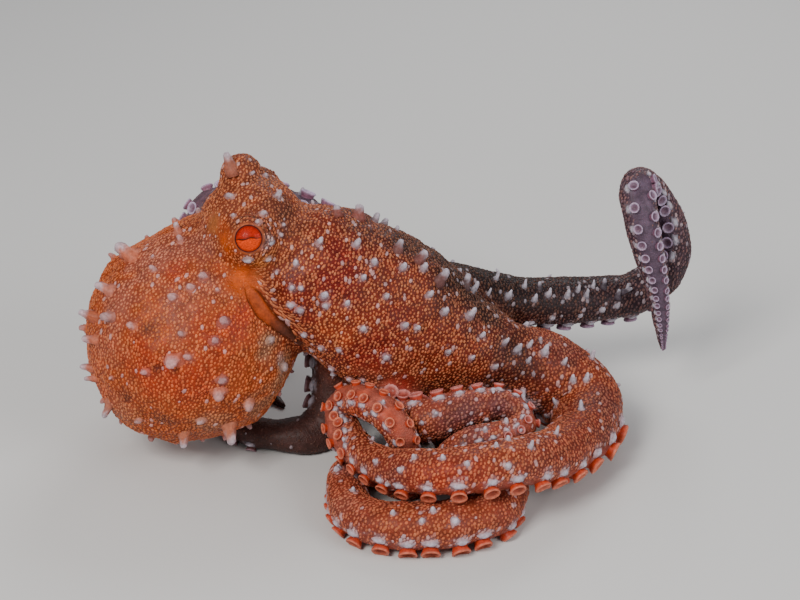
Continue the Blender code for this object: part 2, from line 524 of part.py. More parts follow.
class Growths:
    """Suckers and papillae, each one placed clear of every other node and of its neighbours."""

    def __init__(self):
        self.tubes = {"mantle": mantle_tube(), "crown": crown_tube()}
        self.tubes.update({arm: arm_tube(arm) for arm in ARMS})
        self.balls = [(HEAD_CENTRE, HEAD_RADII.max())]
        self.balls += [(centre, radius) for centre, _, radius in turret_places()]
        for share in (0.25, 0.5, 0.75, 1.0):
            self.balls.append((FUNNEL_ROOT + share * (FUNNEL_MOUTH - FUNNEL_ROOT), FUNNEL_RADII[0]))
        self.placed = []
        self.draw = np.random.default_rng(SEED)

    def add(self, owner, growth, own_reach, ends=(0.0, 1.0)):
        """The growth in a list, or an empty list where it would meet something."""
        foot, axis, low, high, _, reach, _ = growth
        widest = max(low, high)
        middle = foot + axis * 0.6 * reach
        wide = unit(np.cross(axis, RIGHT if abs(axis[0]) < 0.8 else UP))
        deep = np.cross(axis, wide)
        turn = np.linspace(0.0, 2.0 * math.pi, 8, endpoint=False)[:, None]
        circle = wide * np.cos(turn) + deep * np.sin(turn)
        points = np.vstack((foot + axis * reach + circle * high,
                            foot + axis * 0.3 * reach + circle * widest))
        if middle[2] < 0.5 * reach or points[:, 2].min() < -0.5 * reach:
            return []
        for sign, fraction in zip((1.0, -1.0), ends):
            at = tube_index(self.tubes[owner], fraction)
            off = (points - self.tubes[owner]["centre"][at]) @ self.tubes[owner]["tangent"][at]
            if 0.0 < fraction < 1.0 and (sign * off).min() < GAP:
                return []
        for name, tube in self.tubes.items():
            skip = slice(*own_reach) if name == owner else slice(0, 0)
            if meets_tube(tube, points, skip):
                return []
        for centre, radius in self.balls:
            if (np.linalg.norm(points - centre, axis=1) < radius + CLEARANCE).any():
                return []
        for other, size in self.placed:
            if np.linalg.norm(other - middle) < size + widest + CLEARANCE:
                return []
        self.placed.append((middle, widest))
        return [growth]

    def suckers(self, arm, start, end):
        """Staggered suckers on one length of an arm, kept off its end faces."""
        tube, made, travelled, row = self.tubes[arm], [], 0.0, 1
        while travelled < tube["length"]:
            fraction = travelled / tube["length"]
            half = sample(tube["half"], fraction)
            travelled += 0.5 * SUCKER_SPACING * max(half, SUCKER_LEAST_HALF)
            row = -row
            if not start <= fraction < end:
                continue
            radius = max(SUCKER_RADIUS * half, SUCKER_LEAST)
            border = (radius + CLEARANCE) / tube["length"]
            fraction = min(max(fraction, start + border), end - border)
            point, outward = tube_point(tube, fraction, 0.5 * math.pi + row * SUCKER_SPREAD)
            share = radius / SUCKER_RADIUS
            growth = (point, outward, SUCKER_WAIST * radius, radius, SUCKER_SINK * share,
                      SUCKER_REACH * share, SUCKER_SIDES)
            made += self.add(arm, growth, self.own_reach(tube, fraction, half), (start, end))
        return made

    def papilla(self, owner, tube, fraction, turn, size, own_reach, ends=(0.0, 1.0)):
        point, outward = tube_point(tube, fraction, turn)
        growth = (point, outward, size[0], 0.0, PAPILLA_SINK * size[0], size[1], PAPILLA_SIDES)
        return self.add(owner, growth, own_reach, ends)

    def own_reach(self, tube, fraction, half):
        """The steps of the arm itself that a growth on it may lie close to."""
        at = tube_index(tube, fraction)
        span = int(2.2 * half / tube["length"] * ROUTE_STEPS)
        return max(at - span, 0), at + span

    def over_body(self, name, fractions, pitch, size):
        """Rings of papillae about the mantle or the crown."""
        tube, made = self.tubes[name], []
        for number, fraction in enumerate(fractions):
            count = int(round(2.0 * math.pi * sample(tube["half"], fraction) / pitch))
            for i in range(count):
                stray = self.draw.uniform(-PAPILLA_STRAY, PAPILLA_STRAY, 3)
                turn = 2.0 * math.pi * (i + 0.5 * (number % 2) + stray[0]) / count + 0.5 * math.pi
                moved = np.clip(fraction + stray[1] * 0.6 * pitch / tube["length"], 0.0, 1.0)
                made += self.papilla(name, tube, moved, turn, np.array(size) * (1.0 + 0.6 * stray[2]),
                                     (0, len(tube["half"])))
        return made

    def over_arm(self, arm, start, end):
        """Two staggered rows of papillae on the side away from the suckers."""
        tube, made, travelled, row = self.tubes[arm], [], 0.0, 1
        while travelled < tube["length"]:
            fraction = travelled / tube["length"]
            half = sample(tube["half"], fraction)
            travelled += 0.5 * ARM_PAPILLA_SPACING * half
            row = -row
            stray = self.draw.uniform(-PAPILLA_STRAY, PAPILLA_STRAY, 2)
            border = (ARM_PAPILLA[0] * 1.3 + CLEARANCE) / tube["length"]
            if half < ARM_PAPILLA_LEAST_HALF or not start + border < fraction < end - border:
                continue
            turn = -0.5 * math.pi + row * ARM_PAPILLA_SPREAD + stray[0]
            made += self.papilla(arm, tube, fraction, turn, np.array(ARM_PAPILLA) * (1.0 + stray[1]),
                                 self.own_reach(tube, fraction, half), (start, end))
        return made


def horns():
    """The tall papillae over each eye."""
    made = []
    for centre, look, radius in turret_places():
        for lean, share in HORN_LEANS:
            axis = unit(UP + RIGHT * lean + 0.25 * look)
            made.append((centre + axis * radius, axis, HORN[0] * share, 0.0, PAPILLA_SINK * HORN[0],
                         HORN[1] * share, PAPILLA_SIDES))
    return made


def head_balls(collection, extra):
    """The head's block, its two turrets and the bump between them."""
    made = [ball_object("block", HEAD_CENTRE, HEAD_RADII + extra, collection, *HEAD_SEGMENTS)]
    for centre, _, radius in turret_places():
        made.append(ball_object("turret", centre, (radius + extra,) * 3, collection, *HEAD_SEGMENTS))
    made.append(ball_object("knob", KNOB_CENTRE, (KNOB_RADIUS + extra,) * 3, collection, *KNOB_SEGMENTS))
    return made


def make_head(animal, pieces, cutters):
    head = head_balls(pieces, 0.0)[0]
    head.name = "head"
    pieces.objects.unlink(head)
    animal.objects.link(head)
    for centre, look in eye_places():
        ring_about(centre + look * (eye_depth() - LID_SETBACK), look, EYE_OPENING + LID_OUTSET,
                   LID_THICKNESS, pieces)
    join_pieces(head, pieces)
    grow(head, horns(), pieces)
    for side, (centre, look) in zip(("right", "left"), eye_places()):
        socket = ball_object("socket_" + side, centre, (EYE_RADIUS + GAP,) * 3, cutters, *EYE_SEGMENTS)
        apply_boolean(head, "DIFFERENCE", hide_cutter(socket))
        eye = ball_object("eye_" + side, centre, (EYE_RADIUS,) * 3, animal, *EYE_SEGMENTS)
        paint(eye, COLOURS["eye"], EYE_ROUGHNESS)
    paint(head, COLOURS["head"], SKIN_ROUGHNESS)


def make_head_room(cutters, pieces):
    """The head grown by the gap, which its neighbours are cut with."""
    room = head_balls(pieces, GAP)[0]
    pieces.objects.unlink(room)
    cutters.objects.link(room)
    join_pieces(room, pieces)
    return hide_cutter(room)


def spout(name, shares, radii, collection):
    """A round taper along the funnel's axis."""
    axis = unit(FUNNEL_MOUTH - FUNNEL_ROOT)
    centres = FUNNEL_ROOT + (FUNNEL_MOUTH - FUNNEL_ROOT) * np.array(shares)[:, None]
    rows = np.ones((len(shares), 1))
    tube = make_tube(centres, rows * axis, rows * unit(np.cross(UP, axis)), np.array(radii),
                     np.array(radii))
    return loft_object(name, tube_rings(tube, np.linspace(0.0, 1.0, len(shares)), FUNNEL_SIDES),
                       collection)


def make_funnel(animal, cutters, rooms):
    """A tapered spout with a short bore at its mouth."""
    root, mouth = FUNNEL_RADII
    funnel = spout("funnel", (0.0, 0.35, 0.75, 1.0), (root, 0.95 * root, 1.15 * mouth, mouth), animal)
    bore = spout("funnel_bore", (0.8, 1.05), (0.6 * FUNNEL_BORE, FUNNEL_BORE), cutters)
    apply_boolean(funnel, "DIFFERENCE", hide_cutter(bore))
    for room in rooms:
        apply_boolean(funnel, "DIFFERENCE", room)
    paint(funnel, COLOURS["funnel"], SKIN_ROUGHNESS)


def body_room(name, tube, rings, sides, cutters):
    return hide_cutter(loft_object(name, tube_rings(tube, np.linspace(0, 1, rings), sides, GAP),
                                   cutters))


def make_body(name, tube, rings, sides, papillae, rooms, animal, pieces):
    """The mantle or the crown: a loft with its papillae, cut back from what it meets."""
    body = loft_object(name, tube_rings(tube, np.linspace(0, 1, rings), sides), animal)
    grow(body, papillae, pieces)
    for room in rooms:
        apply_boolean(body, "DIFFERENCE", room)
    paint(body, COLOURS[name], SKIN_ROUGHNESS)


def make_arm(arm, growths, crown_room, floor, animal, pieces):
    """An arm in a few lengths, each with its suckers and papillae."""
    tube = growths.tubes[arm]
    cuts = arm_divisions(tube)
    for number, (start, end) in enumerate(zip(cuts[:-1], cuts[1:]), 1):
        node = loft_object(f"arm_{arm}_{number}", arm_length_rings(tube, start, end), animal)
        grow(node, growths.suckers(arm, start, end) + growths.over_arm(arm, start, end), pieces)
        if number == 1:
            apply_boolean(node, "DIFFERENCE", crown_room)
        if min(vert.co.z for vert in node.data.vertices) < 0.0:
            apply_boolean(node, "DIFFERENCE", floor)
        paint(node, COLOURS["arm"], SKIN_ROUGHNESS)


def stand_on_origin(animal):
    """Puts the middle of the model's footprint at the origin."""
    points = np.array([vert.co for item in animal.objects for vert in item.data.vertices])
    middle = 0.5 * (points.min(0) + points.max(0))
    for item in animal.objects:
        for vert in item.data.vertices:
            vert.co.x -= middle[0]
            vert.co.y -= middle[1]


def build():
    animal = new_collection("white_spotted_octopus")
    pieces = new_collection("pieces")
    cutters = new_collection("cutters")
    growths = Growths()
    mantle, crown = growths.tubes["mantle"], growths.tubes["crown"]

    floor = hide_cutter(mesh_box("floor_block", np.array((0.0, 0.0, -0.5 * FLOOR_DEPTH)),
                                 np.array((FLOOR_WIDTH, FLOOR_WIDTH, FLOOR_DEPTH)), cutters))
    crown_room = body_room("crown_room", crown, CROWN_RINGS, CROWN_SIDES, cutters)
    mantle_room = body_room("mantle_room", mantle, MANTLE_RINGS, MANTLE_SIDES, cutters)
    make_head(animal, pieces, cutters)
    head_room = make_head_room(cutters, pieces)

    papillae = growths.over_body("mantle", MANTLE_PAPILLA_ROWS, MANTLE_PAPILLA_PITCH, MANTLE_PAPILLA)
    make_body("mantle", mantle, MANTLE_RINGS, MANTLE_SIDES, papillae, (head_room, crown_room, floor),
              animal, pieces)
    papillae = growths.over_body("crown", CROWN_PAPILLA_ROWS, CROWN_PAPILLA_PITCH, CROWN_PAPILLA)
    make_body("crown", crown, CROWN_RINGS, CROWN_SIDES, papillae, (head_room,), animal, pieces)
    make_funnel(animal, cutters, (mantle_room, head_room, crown_room))
    for arm in ARMS:
        make_arm(arm, growths, crown_room, floor, animal, pieces)

    remove_objects(cutters.objects)
    bpy.data.collections.remove(cutters)
    bpy.data.collections.remove(pieces)
    stand_on_origin(animal)


for old in list(bpy.data.objects):
    bpy.data.objects.remove(old)
build()
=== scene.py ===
import math
import bpy
import bmesh
import numpy as np
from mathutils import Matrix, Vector
from mathutils.bvhtree import BVHTree


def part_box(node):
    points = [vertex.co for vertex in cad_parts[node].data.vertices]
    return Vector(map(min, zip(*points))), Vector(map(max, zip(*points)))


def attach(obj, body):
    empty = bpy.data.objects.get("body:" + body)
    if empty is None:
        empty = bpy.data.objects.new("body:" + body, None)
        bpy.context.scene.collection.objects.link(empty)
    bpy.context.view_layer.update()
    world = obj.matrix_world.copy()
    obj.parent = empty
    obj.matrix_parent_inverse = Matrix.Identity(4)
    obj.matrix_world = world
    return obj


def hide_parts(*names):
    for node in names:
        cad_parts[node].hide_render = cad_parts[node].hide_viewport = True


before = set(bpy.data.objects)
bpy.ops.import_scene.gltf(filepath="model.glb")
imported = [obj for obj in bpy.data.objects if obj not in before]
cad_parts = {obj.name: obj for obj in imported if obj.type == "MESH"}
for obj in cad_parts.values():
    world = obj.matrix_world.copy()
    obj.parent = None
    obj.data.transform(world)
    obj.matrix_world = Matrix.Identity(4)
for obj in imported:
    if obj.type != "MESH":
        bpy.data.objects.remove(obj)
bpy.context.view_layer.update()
print("frame loaded,", len(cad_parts), "nodes")

# The shapes are worked out in millimetres, in the part's own building space, where the eye stands
# at eyeRight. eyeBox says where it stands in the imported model.
lean = math.radians(27.0)
right = np.array((1.0, 0.0, 0.0))
up = np.array((0.0, math.sin(lean), math.cos(lean)))
deep = np.array((0.0, math.cos(lean), -math.sin(lean)))
eyeRight = np.array((-71.5, -24.5, 124.0))
eyeBox = np.array([list(corner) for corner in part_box("eye_right")]) * 1000.0
shift = eyeBox.mean(0) - eyeRight
shift[2] = 0.0
floorLevel = 0.05  # mm, the skin stays above it

mantle = dict(
    neck=np.array((-74.0, 12.5, 102.5)), tip=np.array((-134.5, -27.5, 23.5)), flatten=0.92,
    leastRadius=0.6,
    profile=((-14, 24), (0, 31), (17, 41), (32, 48.5), (48, 53.2), (64, 52.5), (79, 46.5),
             (92, 36.5), (101, 25), (107, 13), (109.5, 1.0)))
crown = dict(
    power=2.2,
    sections=((-64, 2, 104, 24, 24, 20), (-50, 2, 97, 33, 32, 24), (-33, 2, 88, 36.5, 34, 26),
              (-14, 0, 76, 39, 34, 27), (4, -1, 65, 39, 32, 26), (18, 0, 58, 33, 29, 24),
              (30, 1, 53, 26.5, 26, 22), (44, 3, 47, 20.5, 22.5, 22), (55, 5, 42.2, 18.4, 20.4, 24)))
head = dict(centre=np.array((-72.0, 1.0, 117.0)), radii=np.array((26.5, 26.0, 27.0)),
            tilt=math.radians(11.0), eyeSpread=46.0, eyeRaise=math.radians(35.0), eyeRadius=9.2,
            eyeOpening=6.75, turretRadius=(16.0, 18.0), turretIn=9.0, meanRadius=26.0, swell=27.0,
            knob=(np.array((-77.0, 10.0, 141.0)), 11.2))  # the bump under the horns
# Each arm: its route as (x, y, z, half width), where its sucker side faces along it, and its
# thickness over its width at the root, past the middle and at the tip.
armRoutes = {
    "r1": dict(
        route=((0, 10, 83, 16), (18, 18, 77, 15.5), (40, 29, 67, 15), (62, 38, 58, 14),
               (92, 47, 54, 13.2), (122, 55, 53, 12.2), (139, 60, 60, 11.5), (145.5, 63.5, 76, 11),
               (141, 65, 92, 10.5), (132, 64.5, 107, 10), (124, 58, 117, 9.5),
               (121, 47, 119, 9.4), (122, 38, 112, 9), (124.5, 34.5, 101, 8.6), (128, 33, 88, 7.7),
               (132.4, 32, 74, 6.2), (136.5, 32, 51, 4.2), (138.9, 33, 33, 1.2)),
        facing=((0, (0, 0.3, -1)), (0.35, (0, 0.3, -1)), (0.5, (-0.9, -0.2, -0.3)),
                (0.62, (-0.2, -1, -0.2)), (0.7, (0.2, -1, 0.1)), (1, (0.3, -1, 0.1))),
        thick=(0.85, 0.9, 0.95)),
    "r2": dict(
        route=((46, 3.2, 46.2, 19.6), (55, 5, 42.2, 19.8), (72, 8.5, 35.5, 21.5), (88, 5, 25, 21.5),
               (96, -9, 19.5, 19.5), (91, -34, 19, 16.6), (76, -60, 25, 14.4), (56, -81, 33.5, 13.6),
               (28, -90.5, 34, 13.4), (9, -86, 31, 12.4), (-4, -76, 26.5, 11.2),
               (-15, -64, 24, 10), (-23, -51, 24.5, 9.4), (-29, -38.5, 27, 8.8),
               (-31, -31.5, 35, 8.2), (-25.5, -34.5, 42.5, 8.2), (-16, -43.5, 45, 8.5),
               (-7, -52, 44.5, 8.5), (-1, -58, 39, 8), (3, -59, 31, 7), (4, -53, 22.5, 5.8),
               (3.5, -46, 14, 5.4), (2, -37, 8, 4.8), (-3, -27, 4.8, 4.1),
               (-3, -16, 3.4, 3.3), (5, -9, 2.6, 2.3), (15, -8, 1.6, 1.0)),
        facing=((0, (0.3, 0.3, -1)), (0.1, (0.6, 0, -1)), (0.22, (0.7, -0.3, -0.8)),
                (0.34, (0.3, -0.2, -1)), (0.40, (0.1, -0.6, -0.8)), (0.46, (0, -0.6, -0.8)),
                (0.52, (-0.3, -0.3, -0.9)),
                (0.58, (-0.7, -0.2, -0.7)), (0.66, (-0.6, 0.1, 0.6)), (0.74, (0.5, -0.6, 0.6)),
                (0.82, (0.5, -0.8, -0.2)), (1, (0.3, 0, -1))),
        thick=(0.9, 0.9, 0.92)),
    "r3": dict(
        route=((8, 2, 42, 17), (21, -9, 27, 16), (35, -30, 12.5, 15.2), (45, -50, 9.4, 15),
               (48, -71, 9.4, 15), (41, -89, 9.6, 15.2), (22, -98, 9.8, 15.5),
               (0, -98.5, 9.6, 15.2), (-13, -95, 9, 13.8), (-21, -87, 8.6, 12.4),
               (-24.5, -76, 8.4, 11.4), (-25.5, -63, 8.4, 10.6), (-25.5, -50, 8, 9.2),
               (-20.5, -41, 6, 7.4), (-12.5, -42.5, 4.6, 5.8), (-8, -51, 4, 4.8),
               (-3, -59, 3.4, 4.2), (4, -62, 2.4, 3.2), (11, -58, 1.4, 1.0)),
        facing=((0, (0.3, 0, -1)), (0.25, (0.5, -0.3, -1)), (0.45, (0, -0.52, -0.86)),
                (0.6, (-0.5, -0.4, -0.85)), (0.75, (-0.5, 0.3, -1)), (1, (0, 0, -1))),
        thick=(0.76, 0.76, 0.85)),
    "r4": dict(
        route=((-9, -9, 50, 14), (-8, -20, 40, 13.6), (-4, -30, 32.5, 13), (5, -39, 32, 12.4),
               (16, -44, 36, 12), (32, -41, 39.5, 10.6), (46, -36, 40.5, 9), (56.5, -38, 38.5, 7.9),
               (61, -46, 34.5, 7.4), (54, -54.5, 32.5, 7.4), (44, -58.5, 33.5, 7.4),
               (35, -60.5, 34, 7), (26, -61.5, 29, 6.2),
               (21, -57, 21, 5.4), (17, -50, 14, 4.8), (14.5, -42, 8, 4), (14, -32, 4.4, 3),
               (17, -24, 1.8, 1.0)),
        facing=((0, (0, 0.4, 1)), (0.3, (-0.2, 0.95, 0.75)), (0.48, (0.3, 0.8, 0.6)),
                (0.58, (1, 0.2, 0.2)), (0.68, (0.3, -0.8, -0.5)), (0.8, (-0.5, -0.7, -0.6)),
                (1, (0, 0, -1))),
        thick=(0.92, 0.92, 0.92)),
    "l1": dict(
        route=((-10, 25, 74, 16.5), (0, 41, 62, 16), (14, 56, 48, 15), (34, 69, 28, 14),
               (52, 77, 11.5, 12.8), (68, 78, 7.8, 11.5), (80, 68, 7.2, 10.4), (82, 54, 6.4, 9.2),
               (75, 41, 5.6, 8), (64, 36, 4.6, 6.5), (54, 41, 3.6, 5), (54, 50, 2.6, 3.4),
               (60, 56, 1.4, 1.2)),
        facing=((0, (0, 0.3, -1)), (0.4, (0, 0.8, -0.8)), (0.55, (0.2, 0.8, -0.8)),
                (0.65, (0.8, 0.2, -0.8)), (0.78, (0.3, -0.8, -0.8)),
                (0.88, (-0.8, -0.3, -0.8)), (1, (-0.5, 0.6, -0.8))),
        thick=(0.85, 0.85, 0.9)),
    "l2": dict(
        route=((-19, 18, 88, 14.5), (-39, 42, 97, 14), (-62, 57, 103, 13.2), (-86, 54, 110, 12),
               (-99.5, 49, 107, 11), (-106, 56, 90, 10.8), (-108, 64, 68, 10.4),
               (-106, 70, 44, 9.8), (-100, 75, 20, 9.2), (-90, 79, 6.2, 8.6), (-76, 78, 5.1, 7.8),
               (-66, 69, 4.5, 6.8), (-70, 58, 3.7, 5.6), (-82, 55, 2.8, 4.2), (-92, 60, 1.4, 1.4)),
        facing=((0, (0, 0.6, 1)), (0.25, (-0.5, 0.1, 0.9)), (0.36, (-1, -0.1, 0.35)),
                (0.5, (-1, -0.2, 0)), (0.62, (-0.7, 0.3, -0.6)), (0.72, (0, 0.8, -0.8)),
                (0.82, (0.8, 0, -0.8)), (0.9, (0, -0.8, -0.8)), (1, (-0.6, 0, -0.8))),
        thick=(0.85, 0.85, 0.9)),
    "l3": dict(
        route=((-28, 11, 60, 15.5), (-31, 9, 46, 16), (-32.5, 4, 31, 15.2), (-34.5, -2.5, 18, 13.6),
               (-39.5, -9, 10, 12.2), (-48, -13, 7.6, 11.2), (-60, -13, 6.9, 10.4),
               (-76, -8, 6.2, 9.6), (-88, 4, 5.6, 8.6),
               (-92, 18, 4.8, 7.2), (-88, 31, 3.8, 5.8), (-77, 37, 2.9, 4.4), (-67, 34, 1.9, 2.8),
               (-62, 27, 1.2, 1.0)),
        facing=((0, (-0.8, 0.6, -0.2)), (0.25, (-0.9, 0.5, 0)), (0.4, (-0.4, 0.2, -1)),
                (0.5, (0, -0.35, -1)),
                (0.68, (-0.8, 0, -0.8)), (0.82, (-0.3, 0.8, -0.8)), (1, (0.8, 0.2, -0.8))),
        thick=(0.82, 0.82, 0.85)),
    "l4": dict(
        route=((2, 8, 50, 14), (4, 18, 38, 14), (7, 31, 25, 13.5), (8, 43, 12.5, 12.6),
               (0, 55, 8, 11.8), (-12, 59, 7.3, 10.8), (-22, 52, 6.5, 9.6), (-24, 40, 5.7, 8.4),
               (-16, 30, 4.7, 7), (-4, 27, 3.7, 5.6), (6, 25, 2.5, 3.8), (14, 20, 1.2, 1.2)),
        facing=((0, (0.3, 0.3, -1)), (0.35, (0.8, 0.2, -0.8)), (0.5, (0, 0.8, -0.8)),
                (0.66, (-0.8, 0.2, -0.8)), (0.8, (-0.2, -0.8, -0.8)), (1, (0.3, -0.8, -0.8))),
        thick=(0.85, 0.85, 0.88)),
}
build = dict(armSteps=500, armSoften=26, faceSoften=30, suckerSideRound=0.85, bodySoften=60,
             mantleSteps=400, crownSteps=300, sectionStride=2, pointsAtOnce=8000)


def unit(v):
    return v / np.linalg.norm(v, axis=-1, keepdims=True)


# A screen colour from 0 to 255 as linear light.
def linear(r, g, b):
    c = np.array((r, g, b)) / 255.0
    return np.where(c <= 0.04045, c / 12.92, ((c + 0.055) / 1.055) ** 2.4)


# 0 below low, 1 above high, and an eased slope between.
def smooth(low, high, x):
    t = np.clip((x - low) / (high - low), 0.0, 1.0)
    return t * t * (3.0 - 2.0 * t)


# Smooth noise of about -1 to 1: a sum of sine waves with random ways and lengths near size.
def waves(points, size, seed, count=14):
    draw = np.random.default_rng(seed)
    way = unit(draw.normal(size=(count, 3))) / (size * draw.uniform(0.7, 1.5, (count, 1)))
    phase = draw.uniform(0.0, 2.0 * math.pi, count)
    return np.sin(2.0 * math.pi * points @ way.T + phase).sum(1) * math.sqrt(1.0 / count)


# From the first value to the second, by a share of 0 to 1.
def blend(first, second, share):
    return first + (second - first) * share


# Each column of the rows, read at x between the places where the rows stand.
def between(x, places, rows):
    return np.stack([np.interp(x, places, column) for column in rows.T], 1)


# Each inner row becomes half of itself and a quarter of each neighbour, several times.
def evenOut(rows, passes):
    for _ in range(passes):
        rows[1:-1] = 0.25 * rows[:-2] + 0.5 * rows[1:-1] + 0.25 * rows[2:]


# Straight runs between keys, evenly divided by length and softened, done twice.
def denseCurve(keys, steps, passes, measure=3):
    curve = np.asarray(keys, float)
    for _ in range(2):
        run = np.linalg.norm(np.diff(curve[:, :measure], axis=0), axis=1)
        at = np.concatenate(((0.0,), np.cumsum(run)))
        curve = between(np.linspace(0.0, at[-1], steps), at, curve)
        evenOut(curve, passes)
    return curve


def sample(curve, fractions):
    at = np.linspace(0.0, 1.0, len(curve))
    return np.interp(fractions, at, curve) if curve.ndim == 1 else between(fractions, at, curve)


# Distance of each point from one place.
def distance(points, place):
    return np.linalg.norm(points - place, axis=1)


# A part as sections along a curve: half width sideways and half thickness to the face.
def makeTube(centre, tangent, face, half, thick, power=2.0, flat=1.0):
    length = np.linalg.norm(np.diff(centre, axis=0), axis=1).sum()
    return dict(centre=centre, tangent=tangent, face=face, side=unit(np.cross(tangent, face)),
                half=half, thick=thick, power=power, flat=flat, length=length)


def mantleTube():
    profile = denseCurve(mantle["profile"], build["mantleSteps"], build["bodySoften"], measure=2)
    axis = np.repeat(unit(mantle["tip"] - mantle["neck"])[None], len(profile), 0)
    radius = np.maximum(profile[:, 1], mantle["leastRadius"])
    return makeTube(mantle["neck"] + axis * profile[:, :1], axis, unit(np.cross(axis, deep)),
                    radius * mantle["flatten"], radius)


def crownTube():
    curve = denseCurve(crown["sections"], build["crownSteps"], build["bodySoften"])
    slope = np.radians(curve[:, 5])[:, None]
    forward = np.cos(slope) * right - np.sin(slope) * up
    high = np.sin(slope) * right + np.cos(slope) * up
    return makeTube(curve[:, :3], forward, high, curve[:, 4], curve[:, 3], crown["power"])


def armTube(arm):
    spec, steps = armRoutes[arm], build["armSteps"]
    curve = denseCurve(spec["route"], steps, build["armSoften"])
    centre, half = curve[:, :3], curve[:, 3]
    tangent = unit(np.gradient(centre, axis=0))
    at = np.linspace(0.0, 1.0, steps)
    marks, ways = zip(*spec["facing"])
    face = between(at, marks, unit(np.array(ways, float)))
    evenOut(face, build["faceSoften"])
    face = unit(face - (face * tangent).sum(1, keepdims=True) * tangent)
    thick = half * np.interp(at, (0.0, 0.55, 1.0), spec["thick"])
    return makeTube(centre, tangent, face, half, thick, flat=build["suckerSideRound"])


# Sections centre + side * half * cos + face * thick * sin, with squarer corners by power.
def tubeGrid(tube, fractions, sides, scale=1.0):
    turn = np.linspace(0.0, 2.0 * math.pi, sides, endpoint=False)
    across = np.sign(np.cos(turn)) * np.abs(np.cos(turn)) ** (2.0 / tube["power"])
    high = np.sign(np.sin(turn)) * np.abs(np.sin(turn)) ** (2.0 / tube["power"])
    high = np.where(high > 0.0, tube["flat"], 1.0) * high
    half = (sample(tube["half"], fractions) * scale)[:, None]
    thick = (sample(tube["thick"], fractions) * scale)[:, None]
    wide = unit(sample(tube["side"], fractions))[:, None] * (half * across)[..., None]
    tall = unit(sample(tube["face"], fractions))[:, None] * (thick * high)[..., None]
    return sample(tube["centre"], fractions)[:, None] + wide + tall


# A ball: rings of latitude about +Z, scaled by the three radii.
def ballGrid(centre, radii, rows=40, sides=60):
    rise = np.linspace(-0.5 * math.pi, 0.5 * math.pi, rows)[1:-1, None]
    turn = np.linspace(0.0, 2.0 * math.pi, sides, endpoint=False)[None]
    grid = np.stack((np.cos(rise) * np.cos(turn), np.cos(rise) * np.sin(turn),
                     np.sin(rise) + 0.0 * turn), -1)
    return centre + grid * radii


# Quads between the rings of a grid of point numbers.
def ringQuads(index):
    low, high = index[:-1], index[1:]
    return np.stack((low, np.roll(low, -1, 1), np.roll(high, -1, 1), high), -1).reshape(-1, 4)


# Triangles from a ring of point numbers to its pole.
def poleFan(ring, pole):
    return np.stack((ring, np.roll(ring, -1), np.full(len(ring), pole)), -1)


# Points and faces of several grids, each closed by a pole at either end.
def closedShells(grids):
    points, faces, first = [], [], 0
    for grid in grids:
        rows, sides = grid.shape[:2]
        pole = first + rows * sides
        index = np.arange(first, pole).reshape(rows, sides)
        points += [grid.reshape(-1, 3), grid[0].mean(0)[None], grid[-1].mean(0)[None]]
        faces += ringQuads(index).tolist() + poleFan(index[0], pole)[:, (1, 0, 2)].tolist() \
            + poleFan(index[-1], pole + 1).tolist()
        first = pole + 2
    return np.vstack(points), faces


# An object of the scene that stands at the origin.
def addObject(name, data):
    made = bpy.data.objects.new(name, data)
    bpy.context.scene.collection.objects.link(made)
    return made


# A mesh object at the origin, its points in millimetres put in place in metres.
def newPiece(name, points, faces):
    mesh = bpy.data.meshes.new(name)
    mesh.from_pydata(((points + shift) * 0.001).tolist(), [], faces)
    mesh.update()
    return addObject(name, mesh)


def pointOutward(piece):
    bm = bmesh.new()
    bm.from_mesh(piece.data)
    bmesh.ops.recalc_face_normals(bm, faces=bm.faces)
    bm.to_mesh(piece.data)
    bm.free()


# One value of every item of a mesh, as rows of the given width.
def readAll(items, key, kind, width):
    values = np.empty(len(items) * width, kind)
    items.foreach_get(key, values)
    return values.reshape(-1, width)


def getPoints(mesh):
    return readAll(mesh.vertices, "co", np.float32, 3).astype(float) * 1000.0 - shift


def setPoints(mesh, points):
    mesh.vertices.foreach_set("co", ((points + shift) * 0.001).astype(np.float32).ravel())
    mesh.update()


def getNormals(mesh):
    return readAll(mesh.vertex_normals, "vector", np.float32, 3).astype(float)


def getEdges(mesh):
    return readAll(mesh.edges, "vertices", np.int32, 2)


# The mean of each point's neighbours, over the list of edges.
def neighbourMean(values, pairs, count):
    a, b = pairs[:, 0], pairs[:, 1]
    degree = np.bincount(a, minlength=count) + np.bincount(b, minlength=count)
    total = [np.bincount(a, column[b], count) + np.bincount(b, column[a], count)
             for column in np.atleast_2d(values.T)]
    mean = np.stack(total, -1) / np.maximum(degree, 1)[:, None]
    return mean if values.ndim > 1 else mean[:, 0]


# Moves each point towards the mean of its neighbours by its weight, several times.
def soften(mesh, passes, weight):
    points, pairs = getPoints(mesh), getEdges(mesh)
    weight = np.broadcast_to(np.asarray(weight, float), len(points))[:, None]
    for _ in range(passes):
        points += weight * (neighbourMean(points, pairs, len(points)) - points)
    setPoints(mesh, points)


# 1 in inward creases, where the neighbours' mean lies the full height outside the skin, and 0 far
# from them. The spread is a number of rounds, each of about one edge.
def creaseWeight(mesh, full, spread):
    points, pairs, normals = getPoints(mesh), getEdges(mesh), getNormals(mesh)
    hollow = ((neighbourMean(points, pairs, len(points)) - points) * normals).sum(1)
    weight = np.clip(hollow / full, 0.0, 1.0)
    for _ in range(spread):
        weight = np.maximum(weight, 0.97 * neighbourMean(weight, pairs, len(points)))
        weight = 0.5 * weight + 0.5 * neighbourMean(weight, pairs, len(points))
    return np.clip(weight * 2.5, 0.0, 1.0)


